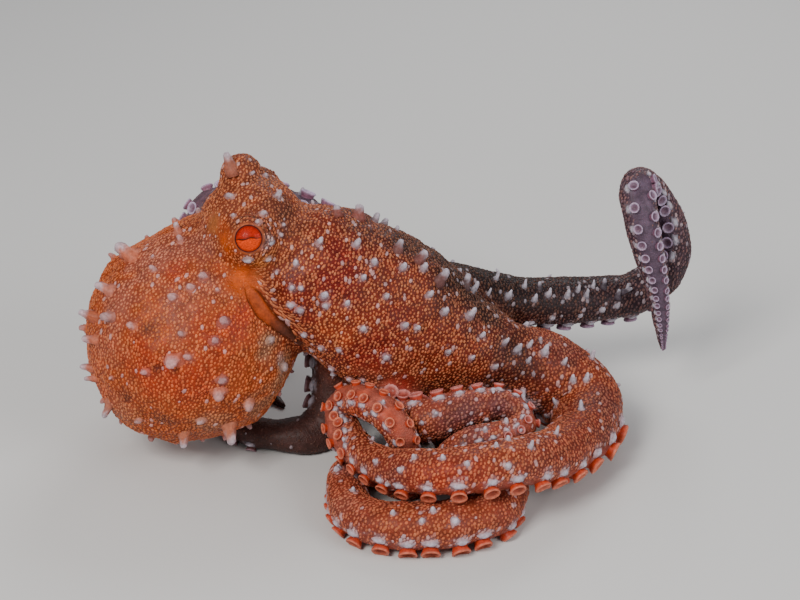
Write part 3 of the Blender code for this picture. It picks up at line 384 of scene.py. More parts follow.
# Gives the piece the mesh that one modifier makes of it.
def applyModifier(piece, modifierType, **values):
    modifier = piece.modifiers.new(modifierType.title(), modifierType)
    for key, value in values.items():
        setattr(modifier, key, value)
    bpy.context.view_layer.update()
    shown = piece.evaluated_get(bpy.context.evaluated_depsgraph_get())
    made = bpy.data.meshes.new_from_object(shown)
    piece.modifiers.remove(modifier)
    old = piece.data
    piece.data = made
    bpy.data.meshes.remove(old)


# The middle of each eye and the way that it looks, right eye first.
def eyePlaces():
    across = np.array((0.0, math.cos(head["tilt"]), math.sin(head["tilt"])))
    crest = np.array((0.0, -math.sin(head["tilt"]), math.cos(head["tilt"])))
    rise = head["eyeRaise"]
    looks = [sign * across * math.cos(rise) + crest * math.sin(rise) for sign in (-1, 1)]
    return [(eyeRight, looks[0]), (eyeRight + across * head["eyeSpread"], looks[1])]


eyes = eyePlaces()
eyeDepth = math.sqrt(head["eyeRadius"] ** 2 - head["eyeOpening"] ** 2)
tubes = {"mantle": mantleTube(), "crown": crownTube()}
tubes.update({arm: armTube(arm) for arm in armRoutes})


# Squared distance of each of some points from each of some places, in single precision.
def squareGaps(points, places):
    points, places = points.astype(np.float32), places.astype(np.float32)
    return (points ** 2).sum(1)[:, None] + (places ** 2).sum(1) - 2.0 * points @ places.T


# Rough distance outside a tube, in mm, with the number of the nearest section, by distance over
# half width, and the turn about it.
def tubeDistance(tube, points):
    stride, chunk = build["sectionStride"], build["pointsAtOnce"]
    narrow = tube["half"][::stride].astype(np.float32)
    best = np.empty(len(points), int)
    for first in range(0, len(points), chunk):
        gap = squareGaps(points[first:first + chunk], tube["centre"][::stride])
        best[first:first + chunk] = (gap / narrow ** 2).argmin(1)
    best *= stride
    off = points - tube["centre"][best]
    side, face, along = ((off * tube[way][best]).sum(1) for way in ("side", "face", "tangent"))
    half, thick = tube["half"][best], tube["thick"][best]
    radial = np.hypot(side / half, face / thick)
    past = np.maximum(np.abs(along) - 2.0, 0.0)
    return (radial - 1.0) * np.minimum(half, thick) + past, best, np.arctan2(face, side)


# The same for the head with the turrets of both eyes, by their radii.
def headDistance(points, radius, turretRadius):
    share = np.linalg.norm((points - head["centre"]) / head["radii"], axis=1)
    gap = share * head["meanRadius"] - radius
    for centre, look in eyes:
        gap = np.minimum(gap, distance(points, centre - head["turretIn"] * look) - turretRadius)
    return gap


camera = dict(distance=900.0, aim=78.6, lens=81.0, sensor=36.0, middle=(400.0, 300.0))
camera["focal"] = 2.0 * camera["middle"][0] * camera["lens"] / camera["sensor"]  # in pixels


# Start and direction of the line of sight through a pixel of the 800 by 600 picture.
def onPixel(x, y):
    start = np.array((0.0, 0.0, camera["aim"])) - camera["distance"] * deep
    across, down = x - camera["middle"][0], y - camera["middle"][1]
    return start, unit(deep + right * across / camera["focal"] + up * -down / camera["focal"])


cameraData = bpy.data.cameras.new("camera")
cameraData.lens = camera["lens"]
cameraData.sensor_width = camera["sensor"]
cameraObject = addObject("camera", cameraData)
cameraObject.location = (onPixel(*camera["middle"])[0] + shift) * 0.001
cameraObject.rotation_euler = (0.5 * math.pi - lean, 0.0, 0.0)
bpy.context.scene.camera = cameraObject

# Body: mantle, head, crown and the first stretch of each arm, joined and softened as one.
skinSizes = dict(voxel=1.72, mantleGrid=(150, 150), crownGrid=(90, 100), rootGrid=(70, 48),
                 rootOut=26.0, rootTaper=0.22, overlap=11.0, lead=3.5, leadWidth=0.82, leadGain=0.18,
                 armPitch=1.98, armSide=2.2, bodyCrease=(0.10, 5), bodyPasses=36,
                 armCrease=(0.06, 3), armPasses=12, evenPasses=3)


# The fraction of an arm where its first stretch ends, a little out of the crown.
def rootEnd(arm):
    tube = tubes[arm]
    outside = tubeDistance(tubes["crown"], tube["centre"])[0]
    first = int(np.argmax(outside > 0.35 * tube["half"])) / (len(outside) - 1)
    return first + skinSizes["rootOut"] / tube["length"]


rootEnds = {arm: rootEnd(arm) for arm in armRoutes}


# An arm from inside the crown to its root end, tapering inside the arm's own tube at last.
def armRoot(arm):
    tube, end = tubes[arm], rootEnds[arm]
    rings, sides = skinSizes["rootGrid"]
    fractions = np.linspace(0.0, end, rings)
    back = (end - fractions) * tube["length"]
    taper = 1.0 - skinSizes["rootTaper"] * smooth(skinSizes["overlap"], 0.0, back)
    return tubeGrid(tube, fractions, sides, taper)


# The arm from inside its root to its tip, with rings and sides at an even pitch.
def armRest(arm):
    tube, end = tubes[arm], rootEnds[arm]
    lead = skinSizes["lead"]
    start = end - (skinSizes["overlap"] + lead) / tube["length"]
    count = int((1.0 - start) * tube["length"] / skinSizes["armPitch"])
    fractions = np.linspace(start, 1.0, count)
    past = (fractions - start) * tube["length"]
    half = tube["half"][int(start * (build["armSteps"] - 1))]
    sides = int(2.0 * math.pi * half / skinSizes["armSide"])
    width = skinSizes["leadWidth"] + skinSizes["leadGain"] * smooth(0.0, lead, past)
    return tubeGrid(tube, fractions, sides, width)


bodyGrids = [tubeGrid(tubes[name], np.linspace(0, 1, rings), sides)
             for name, (rings, sides) in (("mantle", skinSizes["mantleGrid"]),
                                          ("crown", skinSizes["crownGrid"]))]
bodyGrids += [ballGrid(head["centre"], head["radii"]), ballGrid(*head["knob"])]
bodyGrids += [ballGrid(centre + look * (eyeDepth - radius), radius)
              for (centre, look), radius in zip(eyes, head["turretRadius"])]
bodyGrids += [armRoot(arm) for arm in armRoutes]
skin = newPiece("skin", *closedShells(bodyGrids))
applyModifier(skin, "REMESH", mode="VOXEL", voxel_size=skinSizes["voxel"] * 0.001)
print("body joined,", len(skin.data.vertices), "points")
soften(skin.data, skinSizes["evenPasses"], 0.5)
soften(skin.data, skinSizes["bodyPasses"], 0.5 * creaseWeight(skin.data, *skinSizes["bodyCrease"]))

arms = [newPiece("armRest_" + arm, *closedShells([armRest(arm)])) for arm in armRoutes]
armSet = bpy.data.collections.new("armSet")
for rest in arms:
    pointOutward(rest)
    bpy.context.scene.collection.objects.unlink(rest)
    armSet.objects.link(rest)
pointOutward(skin)
bpy.context.scene.collection.children.link(armSet)
applyModifier(skin, "BOOLEAN", operation="UNION", solver="MANIFOLD", operand_type="COLLECTION",
              collection=armSet)
for rest in arms:
    bpy.data.objects.remove(rest)
bpy.data.collections.remove(armSet)
print("arms joined,", len(skin.data.vertices), "points")
soften(skin.data, skinSizes["armPasses"], 0.5 * creaseWeight(skin.data, *skinSizes["armCrease"]))


# Lifts what lies lower than the floor level to it.
def clampToFloor():
    points = getPoints(skin.data)
    points[:, 2] = np.maximum(points[:, 2], floorLevel)
    setPoints(skin.data, points)


# A search tree over the skin, in millimetres of the building space.
def skinTree():
    faces = [tuple(p.vertices) for p in skin.data.polygons]
    return BVHTree.FromPolygons(getPoints(skin.data).tolist(), faces)


# Point and outward direction where the line of sight through a pixel meets the skin.
def onSkin(x, y):
    start, way = onPixel(x, y)
    point, normal = tree.ray_cast(Vector(start), Vector(way))[:2]
    return None if point is None else (np.array(point), np.array(normal))


pointOutward(skin)
tree = skinTree()

# The mantle's opening shows as a leaf between the mantle's lip and the crown: (pixel x, y, half
# width in mm) down its middle.
opening = dict(leaf=((246, 283, 0.7), (250, 291, 2.5), (256, 300, 3.7), (263, 311, 3.7),
                     (273, 321, 2.9), (284, 330, 2.6), (293, 338, 1.8)),
               steps=60, depth=2.6)
leafKeys = [np.concatenate((*onSkin(x, y), (half,))) for x, y, half in opening["leaf"]]
leafLine = denseCurve(leafKeys, opening["steps"], 2)  # place, outward way and half width


# Distance from the leaf's middle line over its half width there, and the nearest step.
def leafShare(points):
    gap = np.linalg.norm(points[:, None] - leafLine[None, :, :3], axis=2)
    best = gap.argmin(1)
    return gap[np.arange(len(points)), best] / leafLine[best, 6], best


# Distance in mm from each eye and from the opening within which each pass halves the edges.
refine = dict(eye=(17.5, 15.0), behindEye=-4.0, leaf=(9.0, 7.0), softenFrom=19.0, softenTo=15.0,
              softenPasses=4)


# Halves the skin's edges about both eyes and along the mantle's opening, twice.
def refineSkin():
    for eyeReach, leafReach in zip(refine["eye"], refine["leaf"]):
        points = getPoints(skin.data)
        near = np.zeros(len(points), bool)
        for centre, look in eyes:
            off = points - centre
            near |= (np.linalg.norm(off, axis=1) < eyeReach) & (off @ look > refine["behindEye"])
        leafGap = np.linalg.norm(points[~near, None] - leafLine[None, ::6, :3], axis=2)
        near[~near] = leafGap.min(1) < leafReach
        bm = bmesh.new()
        bm.from_mesh(skin.data)
        bm.edges.ensure_lookup_table()
        pairs = getEdges(skin.data)
        chosen = [bm.edges[k] for k in np.flatnonzero(near[pairs].all(1))]
        bmesh.ops.subdivide_edges(bm, edges=chosen, cuts=1, use_grid_fill=True)
        bmesh.ops.triangulate(bm, faces=[f for f in bm.faces if len(f.verts) > 4])
        bm.to_mesh(skin.data)
        bm.free()
        eyeGap = np.min([distance(getPoints(skin.data), centre) for centre, _ in eyes], 0)
        weight = smooth(refine["softenFrom"], refine["softenTo"], eyeGap)
        soften(skin.data, refine["softenPasses"], 0.5 * weight)


# Eye surround: how far out along the look axis the skin stands at each distance from the axis; lines sets how
# far the painted shade darkens the troughs of its wrinkles.
surround = dict(lines=0.62, wrinkle=0.36, fold=0.30, reach=15.0,
                heights=((0.0, 4.4), (5.9, 4.6), (6.5, 5.9), (7.2, 6.35), (8.2, 5.75), (9.7, 4.3),
                         (11.2, 2.45), (13.5, -0.7), (15.0, -3.4)))


# Across the eye, along its slit, and up over it.
def eyeAxes(look):
    level = unit(right - look * (right @ look))
    high = unit(np.cross(level, look))
    return level, high * np.sign(high @ up)


# Waves of the wrinkles about an eye, strongest above it and behind it.
def eyeRings(radius, turn):
    side = smooth(-0.6, 0.9, 0.8 * np.sin(turn) + 0.7 * np.cos(turn))
    return np.sin(radius * 3.5 + 1.1 * np.sin(2.0 * turn + 0.7)) * smooth(7.2, 8.4, radius), side


# Raises a low mound about each eye, with rings of wrinkles above and folds behind it.
def shapeEyes(points):
    for centre, look in eyes:
        level, high = eyeAxes(look)
        off = points - centre
        height = off @ look
        x, y = off @ level, off @ high
        radius, turn = np.hypot(x, y), np.arctan2(y, x)
        near = (radius < surround["reach"]) & (height > -3.0)
        wanted = np.interp(radius, *np.array(surround["heights"]).T)
        weight = smooth(14.5, 11.5, radius) * near
        ring, side = eyeRings(radius, turn)
        behind = smooth(1.4, 0.4, np.abs(turn - 0.35))
        fold = np.sin(turn * 19.0 + radius * 0.9) * smooth(8.0, 9.2, radius) * behind
        wave = (surround["wrinkle"] * ring * (0.2 + 0.8 * side) + surround["fold"] * fold) \
            * smooth(13.5, 11.0, radius) * near
        points = points + look * ((wanted - height) * weight + wave)[:, None]
    return points


relief = dict(swell=0.75, swellSize=21.0, ripple=0.32, rippleSize=8.5, mantle=1.0, arm=0.35,
              scallop=0.24, pointsAtOnce=20000)


# Soft swells over the body, a mound at each eye, the sunk leaf of the mantle's opening, and a low
# rise of the arm under each sucker.
def shapeSkin():
    points, normals = getPoints(skin.data), getNormals(skin.data)
    bodyGap = np.minimum(*(tubeDistance(tubes[name], points)[0] for name in ("mantle", "crown")))
    level = blend(relief["arm"], relief["mantle"], smooth(10.0, 2.0, bodyGap))
    swell = relief["swell"] * waves(points, relief["swellSize"], 71) \
        + relief["ripple"] * waves(points, relief["rippleSize"], 72, 20)
    rise = swell * level
    chunk = relief["pointsAtOnce"]
    single = points.astype(np.float32)[:, None]
    for found in suckerSets.values():
        roots, size = found["roots"].astype(np.float32), found["size"]
        for first in range(0, len(points), chunk):
            gap = np.linalg.norm(single[first:first + chunk] - roots, axis=2)
            bump = relief["scallop"] * size * smooth(2.1, 0.9, gap / size)
            rise[first:first + chunk] += bump.max(1)
    share, best = leafShare(points)
    rise = rise * smooth(1.0, 2.2, share)
    sunk = opening["depth"] * smooth(1.30, 0.86, share) \
        * smooth(0.0, 0.25, best / (opening["steps"] - 1.0))
    points = points + normals * rise[:, None] - leafLine[best, 3:6] * sunk[:, None]
    setPoints(skin.data, shapeEyes(points))
    clampToFloor()


# Skin colours on a screen's scale.
tones = {
    "mantle": linear(180, 82, 32), "blush": linear(172, 102, 84), "ember": linear(184, 60, 14),
    "deepBrown": linear(76, 34, 20), "tan": linear(156, 116, 88), "amber": linear(186, 76, 8),
    "head": linear(156, 78, 44), "umber": linear(72, 40, 34), "crown": linear(146, 58, 28),
    # dusk is the dark maroon of r1 and of the crown's right end, darkened with painted shade as they lie in
    # shadow.
    "brick": linear(146, 24, 8), "dusk": linear(31, 17, 19), "arm": linear(138, 58, 38),
    # mauve is l3's dull colour darkened with painted shade, as it lies under the mantle.
    "rose": linear(156, 72, 50), "mauve": linear(72, 46, 42), "lilac": linear(88, 70, 86),
    "oral": linear(160, 84, 70), "white": linear(188, 180, 192), "cream": linear(228, 150, 102),
    "rust": linear(170, 78, 40), "plum": linear(92, 62, 64), "olive": linear(176, 112, 44),
}
# How pale the grain stands out from the net between it, for each tube and the head.
# r1's low contrast dulls its granules, as part of its painted shade.
contrast = dict(mantle=0.32, head=0.52, crown=0.86, r1=0.42, r2=0.50, r3=0.36, r4=0.36, l1=0.6, l2=0.5,
                l3=0.2, l4=0.4)
# Soft patches as (pixel x, pixel y, radius in mm, colour, share).
patches = (
    (155, 258, 17, "blush", 0.8), (118, 300, 15, "blush", 0.7), (196, 246, 12, "blush", 0.7),
    (176, 300, 13, "blush", 0.4), (205, 283, 9, "blush", 0.5), (108, 345, 12, "blush", 0.4),
    (140, 350, 9, "ember", 0.4), (152, 374, 15, "ember", 0.7), (192, 384, 16, "ember", 0.7),
    (216, 352, 12, "ember", 0.5), (236, 326, 10, "ember", 0.9), (176, 272, 7, "ember", 0.6),
    (206, 330, 9, "ember", 0.5), (245, 312, 6, "ember", 0.7), (148, 328, 5, "deepBrown", 0.5),
    (157, 369, 4, "deepBrown", 0.6), (126, 397, 6, "deepBrown", 0.55), (162, 418, 7, "deepBrown", 0.5),
    (281, 360, 5, "white", 0.6), (282, 372, 13, "tan", 0.8), (268, 345, 9, "tan", 0.8),
    (262, 405, 12, "tan", 0.7), (210, 425, 12, "tan", 0.5), (126, 414, 12, "tan", 0.3),
    (232, 246, 7, "amber", 0.8),
    (228, 268, 9, "amber", 0.7), (243, 280, 8, "amber", 0.9), (256, 266, 6, "amber", 0.6),
    (262, 172, 14, "umber", 0.35), (278, 205, 9, "umber", 0.5), (288, 220, 10, "umber", 0.5),
    (213, 223, 6, "olive", 0.35), (225, 240, 6, "amber", 0.9), (222, 232, 6, "amber", 0.6),
    (270, 240, 3, "white", 0.7), (265, 246, 3, "white", 0.4), (262, 262, 7, "olive", 0.5),
    (345, 266, 11, "brick", 0.9), (328, 284, 9, "brick", 0.9), (352, 296, 8, "brick", 0.7),
    (334, 250, 8, "brick", 0.6), (318, 268, 7, "brick", 0.5), (306, 316, 7, "brick", 0.5),
    (340, 316, 8, "amber", 0.35), (296, 300, 7, "amber", 0.4), (372, 316, 9, "amber", 0.25),
    (300, 300, 8, "brick", 0.6), (292, 282, 6, "brick", 0.6), (376, 352, 12, "brick", 0.8),
    (352, 352, 8, "brick", 0.6), (398, 318, 9, "brick", 0.5), (402, 385, 8, "brick", 0.6),
    (330, 332, 10, "mantle", 0.8), (346, 338, 8, "mantle", 0.7), (312, 262, 7, "mantle", 0.5),
    # The dusk patches on the crown's right end and r1's root are painted shade.
    (352, 378, 8, "mantle", 0.6), (470, 300, 12, "dusk", 0.6), (512, 350, 12, "dusk", 0.6),
    (528, 370, 10, "dusk", 0.6), (500, 380, 9, "dusk", 0.5), (450, 268, 12, "dusk", 0.4),
    (480, 475, 12, "ember", 0.45), (440, 474, 11, "ember", 0.75), (355, 405, 8, "ember", 0.6),
    # The plum patches at (600, 400) and (566, 352) are painted shade on the right of the front arm.
    (600, 400, 15, "plum", 0.45), (566, 352, 12, "plum", 0.35), (608, 440, 10, "plum", 0.4),
    (592, 372, 9, "rust", 0.5), (575, 392, 9, "rust", 0.5), (548, 430, 11, "rust", 0.5),
    (412, 478, 10, "ember", 0.35), (505, 455, 12, "rust", 0.6), (395, 520, 14, "rust", 0.5),
    (440, 528, 12, "rust", 0.6), (480, 520, 11, "rust", 0.5), (340, 505, 9, "blush", 0.6),
    (430, 428, 9, "rust", 0.5), (475, 438, 8, "oral", 0.5), (458, 410, 9, "plum", 0.4),
    (510, 416, 8, "plum", 0.4), (470, 322, 10, "plum", 0.4), (500, 350, 10, "plum", 0.4),
    (444, 428, 10, "lilac", 0.35), (478, 436, 9, "lilac", 0.3),
    (388, 420, 7, "ember", 0.5), (470, 412, 10, "lilac", 0.4), (500, 405, 8, "lilac", 0.5),
    (352, 470, 10, "lilac", 0.3), (395, 480, 9, "lilac", 0.2),
)
# r1's dusk holds painted shade, as r1 lies in shadow.
armTones = {"r1": ("dusk", "lilac"), "r2": ("arm", "rose"), "r3": ("arm", "rose"),
            "r4": ("rose", "rose"), "l1": ("umber", "arm"), "l2": ("plum", "oral"),
            # l3's mauve holds painted shade, as it lies under the mantle.
            "l3": ("mauve", "mauve"), "l4": ("umber", "arm")}
armOral = {"r1": "lilac", "r2": "oral", "r3": "oral", "r4": "oral", "l1": "oral", "l2": "lilac",
           "l3": "mauve", "l4": "oral"}
armBare = dict(l3=0.8)  # share without granules all round the arm
barePatches = dict(cheek=(243, 280), underEye=((213, 223), (225, 240)))  # patches with few granules
farAway = np.full(3, 1e4)  # stands for a patch whose line of sight misses the skin


# How dark the crown is: most along its back, its own darker colour, and more towards the arms, where it is
# painted shade of the light falling off to the right.
def crownBackAndShade(points):
    tube = tubes["crown"]
    _, best, turn = tubeDistance(tube, points)
    along = best / (len(tube["half"]) - 1.0)
    back = np.sin(turn) * 0.9 + 0.25 * waves(points, 26.0, 5)
    # The last term is painted shade towards the arms.
    return smooth(0.25, 1.0, back) * smooth(0.0, 0.45, along) + 0.4 * smooth(0.75, 1.0, along)


# How the tints are put together: the width in mm over which two parts blend, the scale of all tints
# that makes tint and granules together as light as the photo, and the fine mottling.
tinting = dict(blendWidth=3.5, scale=0.92, mottle=0.13, fineMottle=0.07, raggedPatch=0.25,
               raggedFrost=0.30, turret=16.5, pointsAtOnce=10000)
frosty = {}  # roots, reach and amount of the white skin about each papilla and wart, filled in below


# How white the skin is about each papilla and wart, in ragged patches.
def frost(points):
    found = np.empty(len(points))
    chunk = tinting["pointsAtOnce"]
    for first in range(0, len(points), chunk):
        part = points[first:first + chunk]
        gap = np.sqrt(np.maximum(squareGaps(part, frosty["roots"]), 0.0))
        share = gap / frosty["reach"].astype(np.float32)
        best = share.argmin(1)
        ragged = share[np.arange(len(part)), best] * (1.0 + tinting["raggedFrost"] * waves(part, 2.0, 91))
        found[first:first + chunk] = frosty["amount"][best] * smooth(1.05, 0.55, ragged)
    return found


# The tint of each part with its share at each point, and how pale its granules stand out: the
# mantle's with blushes, the head's, the crown's with its dark back and painted shade towards the
# arms, and each arm's from its first tone to its last along it and to its oral tone round it.
def blendedTint(points, near):
    dark = np.clip(crownBackAndShade(points), 0.0, 1.0)[:, None]
    broad = waves(points, 34.0, 11)[:, None]
    layers = [(near["mantle"][0], tones["mantle"] + (tones["blush"] - tones["mantle"])
               * 0.3 * smooth(0, 1.2, broad), contrast["mantle"]),
              (headDistance(points, head["swell"], tinting["turret"]), tones["head"][None], contrast["head"]),
              (near["crown"][0], tones["crown"] * (1.0 - dark) + tones["umber"] * dark,
               contrast["crown"])]
    for arm in armRoutes:
        gap, best, turn = near[arm]
        along = best / (build["armSteps"] - 1.0)
        toSuckers = smooth(-0.1, 0.75, np.sin(turn) + 0.12 * waves(points, 9.0, 31))[:, None]
        first, last = armTones[arm]
        tint = blend(tones[first], tones[last], smooth(0.15, 0.75, along)[:, None])
        layers.append((gap, tint + (tones[armOral[arm]] - tint) * 0.75 * toSuckers, contrast[arm]))
    gaps = np.stack([layer[0] for layer in layers], 1)
    share = np.exp(-np.clip(gaps - gaps.min(1, keepdims=True), 0.0, 60.0) / tinting["blendWidth"])
    share /= share.sum(1, keepdims=True)
    tint = sum(share[:, k:k + 1] * layer[1] for k, layer in enumerate(layers))
    return tint, sum(share[:, k] * layer[2] for k, layer in enumerate(layers)), share[:, 3:]


# The share of painted shade in the troughs of the wrinkles about the eye that looks this way, at each point.
def wrinkleShade(points, centre, way):
    level, high = eyeAxes(way)
    off = points - centre
    x, y = off @ level, off @ high
    radius = np.hypot(x, y)
    ring, side = eyeRings(radius, np.arctan2(y, x))
    return smooth(-0.1, -0.8, ring) * side * smooth(13.0, 11.0, radius) * (off @ way > -2.0)


# Tint of the skin at each point, its share of granules, and how pale they stand out.
def skinLook(points):
    near = {name: tubeDistance(tube, points) for name, tube in tubes.items()}
    tint, pop, armShares = blendedTint(points, near)
    bare = np.zeros(len(points))
    for arm, share in zip(armRoutes, armShares.T):
        bare += share * smooth(0.35, 0.95, np.sin(near[arm][2]))
        bare += share * armBare.get(arm, 0.0)
    pop = pop * (1.0 + 0.30 * waves(points, 14.0, 23) * (near["mantle"][0] < 3.0))
    for x, y, radius, colour, amount in patches:
        gap = distance(points, patchSpots.get((x, y), farAway)) / radius
        gap = gap * (1.0 + tinting["raggedPatch"] * waves(points, 9.0, int(x + 3 * y)))
        tint += (tones[colour] - tint) * (amount * smooth(1.25, 0.25, gap))[:, None]
    mottle = tinting["mottle"] * waves(points, 6.0, 17)
    tint = tint * (1.0 + mottle + tinting["fineMottle"] * waves(points, 2.6, 18))[:, None]
    # Painted shade in the troughs of the wrinkles round each eye.
    for centre, way in eyes:
        tint = tint * (1.0 - surround["lines"] * wrinkleShade(points, centre, way))[:, None]
    # Painted shadow: the creases along the edges of the mantle's opening are darkened with deep brown.
    leaf, best = leafShare(points)
    creaseShade = smooth(0.25, 0.0, np.abs(leaf - 1.15)) * smooth(0.0, 0.2, best / (opening["steps"] - 1.0))
    tint = blend(tint, tones["deepBrown"] * 0.6, (0.75 * creaseShade)[:, None])
    underEye = np.min([distance(points, patchSpots[spot]) for spot in barePatches["underEye"]], 0)
    bareSkin = bare + 0.85 * smooth(13.0, 5.0, distance(points, patchSpots[barePatches["cheek"]])) \
        + smooth(1.35, 1.05, leaf) + 0.7 * smooth(9.0, 3.0, underEye)
    white = frost(points)
    tint = blend(tint, tones["white"] * 0.85, (0.8 * white)[:, None]) * tinting["scale"]
    return np.clip(tint, 0.002, 1.0), np.clip(1.0 - bareSkin, 0.0, 1.0), pop * (1.0 - 0.5 * white)


def setColours(mesh, name, colours):
    layer = mesh.attributes.new(name, "FLOAT_COLOR", "POINT")
    full = np.ones((len(colours), 4), np.float32)
    full[:, :3] = colours
    layer.data.foreach_set("color", full.ravel())


# How much the net darkens red, green and blue, and how pale the granules are: at least, and more
# where they stand out.
grainLook = dict(netDark=(0.60, 0.77, 0.80), netLeast=0.52, netMore=0.48, paleLeast=0.04, paleMore=0.43,
                 spread=(0.4, 1.3), creamLeast=0.22, creamMore=5.5, lighter=1.12)


# The dark net of the skin that shows between the granules.
def netTint(tint, share, pop):
    depth = (share * (grainLook["netLeast"] + grainLook["netMore"] * pop))[:, None]
    return tint * (1.0 - depth * grainLook["netDark"])


# The paler tops of the granules, each a little different and duller where the skin is dark.
def grainTint(tint, pop, draw):
    pale = grainLook["paleLeast"] + grainLook["paleMore"] * pop
    pale = pale * draw.uniform(*grainLook["spread"], len(tint))
    least = grainLook["creamLeast"]
    cream = np.clip(least + grainLook["creamMore"] * tint.mean(1), least, 1.0)[:, None]
    return blend(tint * grainLook["lighter"], tones["cream"] * cream, pale[:, None])


skinFinish = dict(mottleScale=420.0, dark=0.80, light=1.18, speckSize=1.1, speckShare=0.45,
                  speckTint=(1.55, 1.45, 1.4, 1.0), roughness=0.50, bumpStrength=0.7,
                  bumpHeight=0.00035, coat=0.04, coatRoughness=0.35, specular=0.20,
                  subsurface=0.08, subsurfaceRadius=(1.0, 0.4, 0.25), subsurfaceSize=0.0020)


# Short calls for a material's nodes.
class Graph:

    def __init__(self, name):
        self.material = bpy.data.materials.new(name)
        self.material.use_nodes = True
        self.nodes = self.material.node_tree.nodes
        self.links = self.material.node_tree.links
        self.shader = self.nodes["Principled BSDF"]

    def add(self, kind, inputs=None, **values):
        node = self.nodes.new("ShaderNode" + kind)
        for key, value in values.items():
            setattr(node, key, value)
        for key, value in (inputs or {}).items():
            self.put(node.inputs[key], value)
        return node

    def put(self, socket, value):
        if isinstance(value, bpy.types.NodeSocket):
            self.links.new(value, socket)
        else:
            socket.default_value = value

    # Inputs 6 and 7 and output 2 of the Mix node are its colours.
    def mix(self, share, first, second, way="MIX"):
        node = self.add("Mix", {"Factor": share, 6: first, 7: second}, data_type="RGBA", blend_type=way)
        return node.outputs[2]

    def math(self, operation, first, second=0.0):
        return self.add("Math", {0: first, 1: second}, operation=operation).outputs[0]

    def noise(self, place, scale, detail):
        return self.add("TexNoise", {"Vector": place, "Scale": scale, "Detail": detail}).outputs["Fac"]

    def bump(self, height, strength, distance):
        node = self.add("Bump", {"Height": height, "Strength": strength, "Distance": distance})
        self.put(self.shader.inputs["Normal"], node.outputs["Normal"])

    def ramp(self, value, low, high, first=0.0, last=1.0):
        node = self.add("MapRange", {"Value": value, "From Min": low, "From Max": high, "To Min": first,
                                     "To Max": last}, interpolation_type="SMOOTHSTEP")
        return node.outputs["Result"]

    def grey(self, value):
        return self.add("CombineColor", {0: value, 1: value, 2: value}).outputs["Color"]

    # The piece's own tint with mottling from dark to light; also the place, the tint and the noise.
    def mottledTint(self, scale, dark, light):
        place = self.add("TexCoord").outputs["Object"]
        tint = self.add("Attribute", attribute_name="tint").outputs["Color"]
        mottle = self.noise(place, scale, 3.0)
        shade = self.ramp(mottle, 0.3, 0.7, dark, light)
        return self.mix(1.0, tint, self.grey(shade), "MULTIPLY"), place, tint, mottle

    def finish(self, colour, **values):
        self.put(self.shader.inputs["Base Color"], colour)
        for key, value in values.items():
            self.shader.inputs[key.replace("_", " ")].default_value = value
        return self.material

    # Soft wet flesh: a thin coat, a low shine and a little light that passes under the skin.
    def flesh(self, colour, look, roughness, coat):
        return self.finish(colour, Roughness=roughness, Coat_Weight=coat,
                           Coat_Roughness=look["coatRoughness"],
                           Specular_IOR_Level=look["specular"],
                           Subsurface_Weight=look["subsurface"],
                           Subsurface_Radius=look["subsurfaceRadius"],
                           Subsurface_Scale=look["subsurfaceSize"])


# Skin: its tint with fine mottling, and small pale specks in the net between the granules.
def fleshMaterial(name):
    g, look = Graph(name), skinFinish
    colour, place, tint, swirl = g.mottledTint(look["mottleScale"], look["dark"], look["light"])
    speck = g.add("TexVoronoi", {"Vector": place, "Scale": 1000.0 / look["speckSize"],
                                 "Randomness": 0.9}, feature="F1").outputs["Distance"]
    speck = g.ramp(speck, 0.55, 0.15)
    lighter = g.mix(1.0, tint, look["speckTint"], "MULTIPLY")
    colour = g.mix(g.math("MULTIPLY", speck, look["speckShare"]), colour, lighter)
    height = g.math("ADD", g.math("MULTIPLY", speck, 0.7), g.math("MULTIPLY", swirl, 0.6))
    g.bump(height, look["bumpStrength"], look["bumpHeight"])
    return g.flesh(colour, look, look["roughness"], look["coat"])


# Tint and material over the whole piece, smooth shading, the body that it rides on, what it
# replaces and its slot.
def finishPiece(piece, tint, material, nodes=()):
    mesh = piece.data
    setColours(mesh, "tint", tint)
    mesh.materials.clear()
    mesh.materials.append(material)
    mesh.polygons.foreach_set("material_index", np.zeros(len(mesh.polygons), np.int32))
    mesh.polygons.foreach_set("use_smooth", np.ones(len(mesh.polygons), bool))
    mesh.update()
    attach(piece, "root")
    if nodes:
        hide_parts(*nodes)


# True for each point that lies under the skin.
def insideSkin(points):
    found = [tree.find_nearest(Vector(p)) for p in points]
    return np.array([(Vector(p) - f[0]).dot(f[1]) < 0.0 for p, f in zip(points, found)])


# Suckers: two staggered rows down the sucker side of each arm, out to its tip.
sucker = dict(radius=0.31, spacing=0.90, closer=dict(r3=0.66), spread=math.radians(27.0), reach=0.30,
              least=0.55, leastHalf=1.6, clear=1.3, sunk=0.3, sides=12,
              profile=((0.80, -0.40), (0.76, 0.10), (0.80, 0.40), (0.92, 0.68), (1.00, 0.88),
                       (0.94, 1.00), (0.78, 0.94), (0.58, 0.66), (0.30, 0.52), (0.0, 0.48)),
              rim=((0, 2, 3, 4, 5, 6, 7, 9), (0.25, 0.0, 0.15, 0.7, 1.0, 0.9, 0.35, 0.1)),
              # shade is painted shade, at the foot and down inside the cup.
              shade=((0, 1, 6, 7, 9), (0.9, 1.0, 1.0, 0.7, 0.55)))
# Colours of the sides and of the rim on each arm.
suckerTints = {"r1": ((120, 80, 100), (168, 148, 172)), "r2": ((180, 56, 26), (198, 112, 86)),
               "r3": ((172, 54, 30), (190, 104, 80)), "r4": ((174, 62, 40), (190, 122, 116)),
               "l1": ((160, 72, 50), (190, 136, 124)), "l2": ((140, 92, 112), (188, 168, 194)),
               "l3": ((104, 62, 58), (166, 134, 144)), "l4": ((160, 72, 50), (190, 136, 124))}


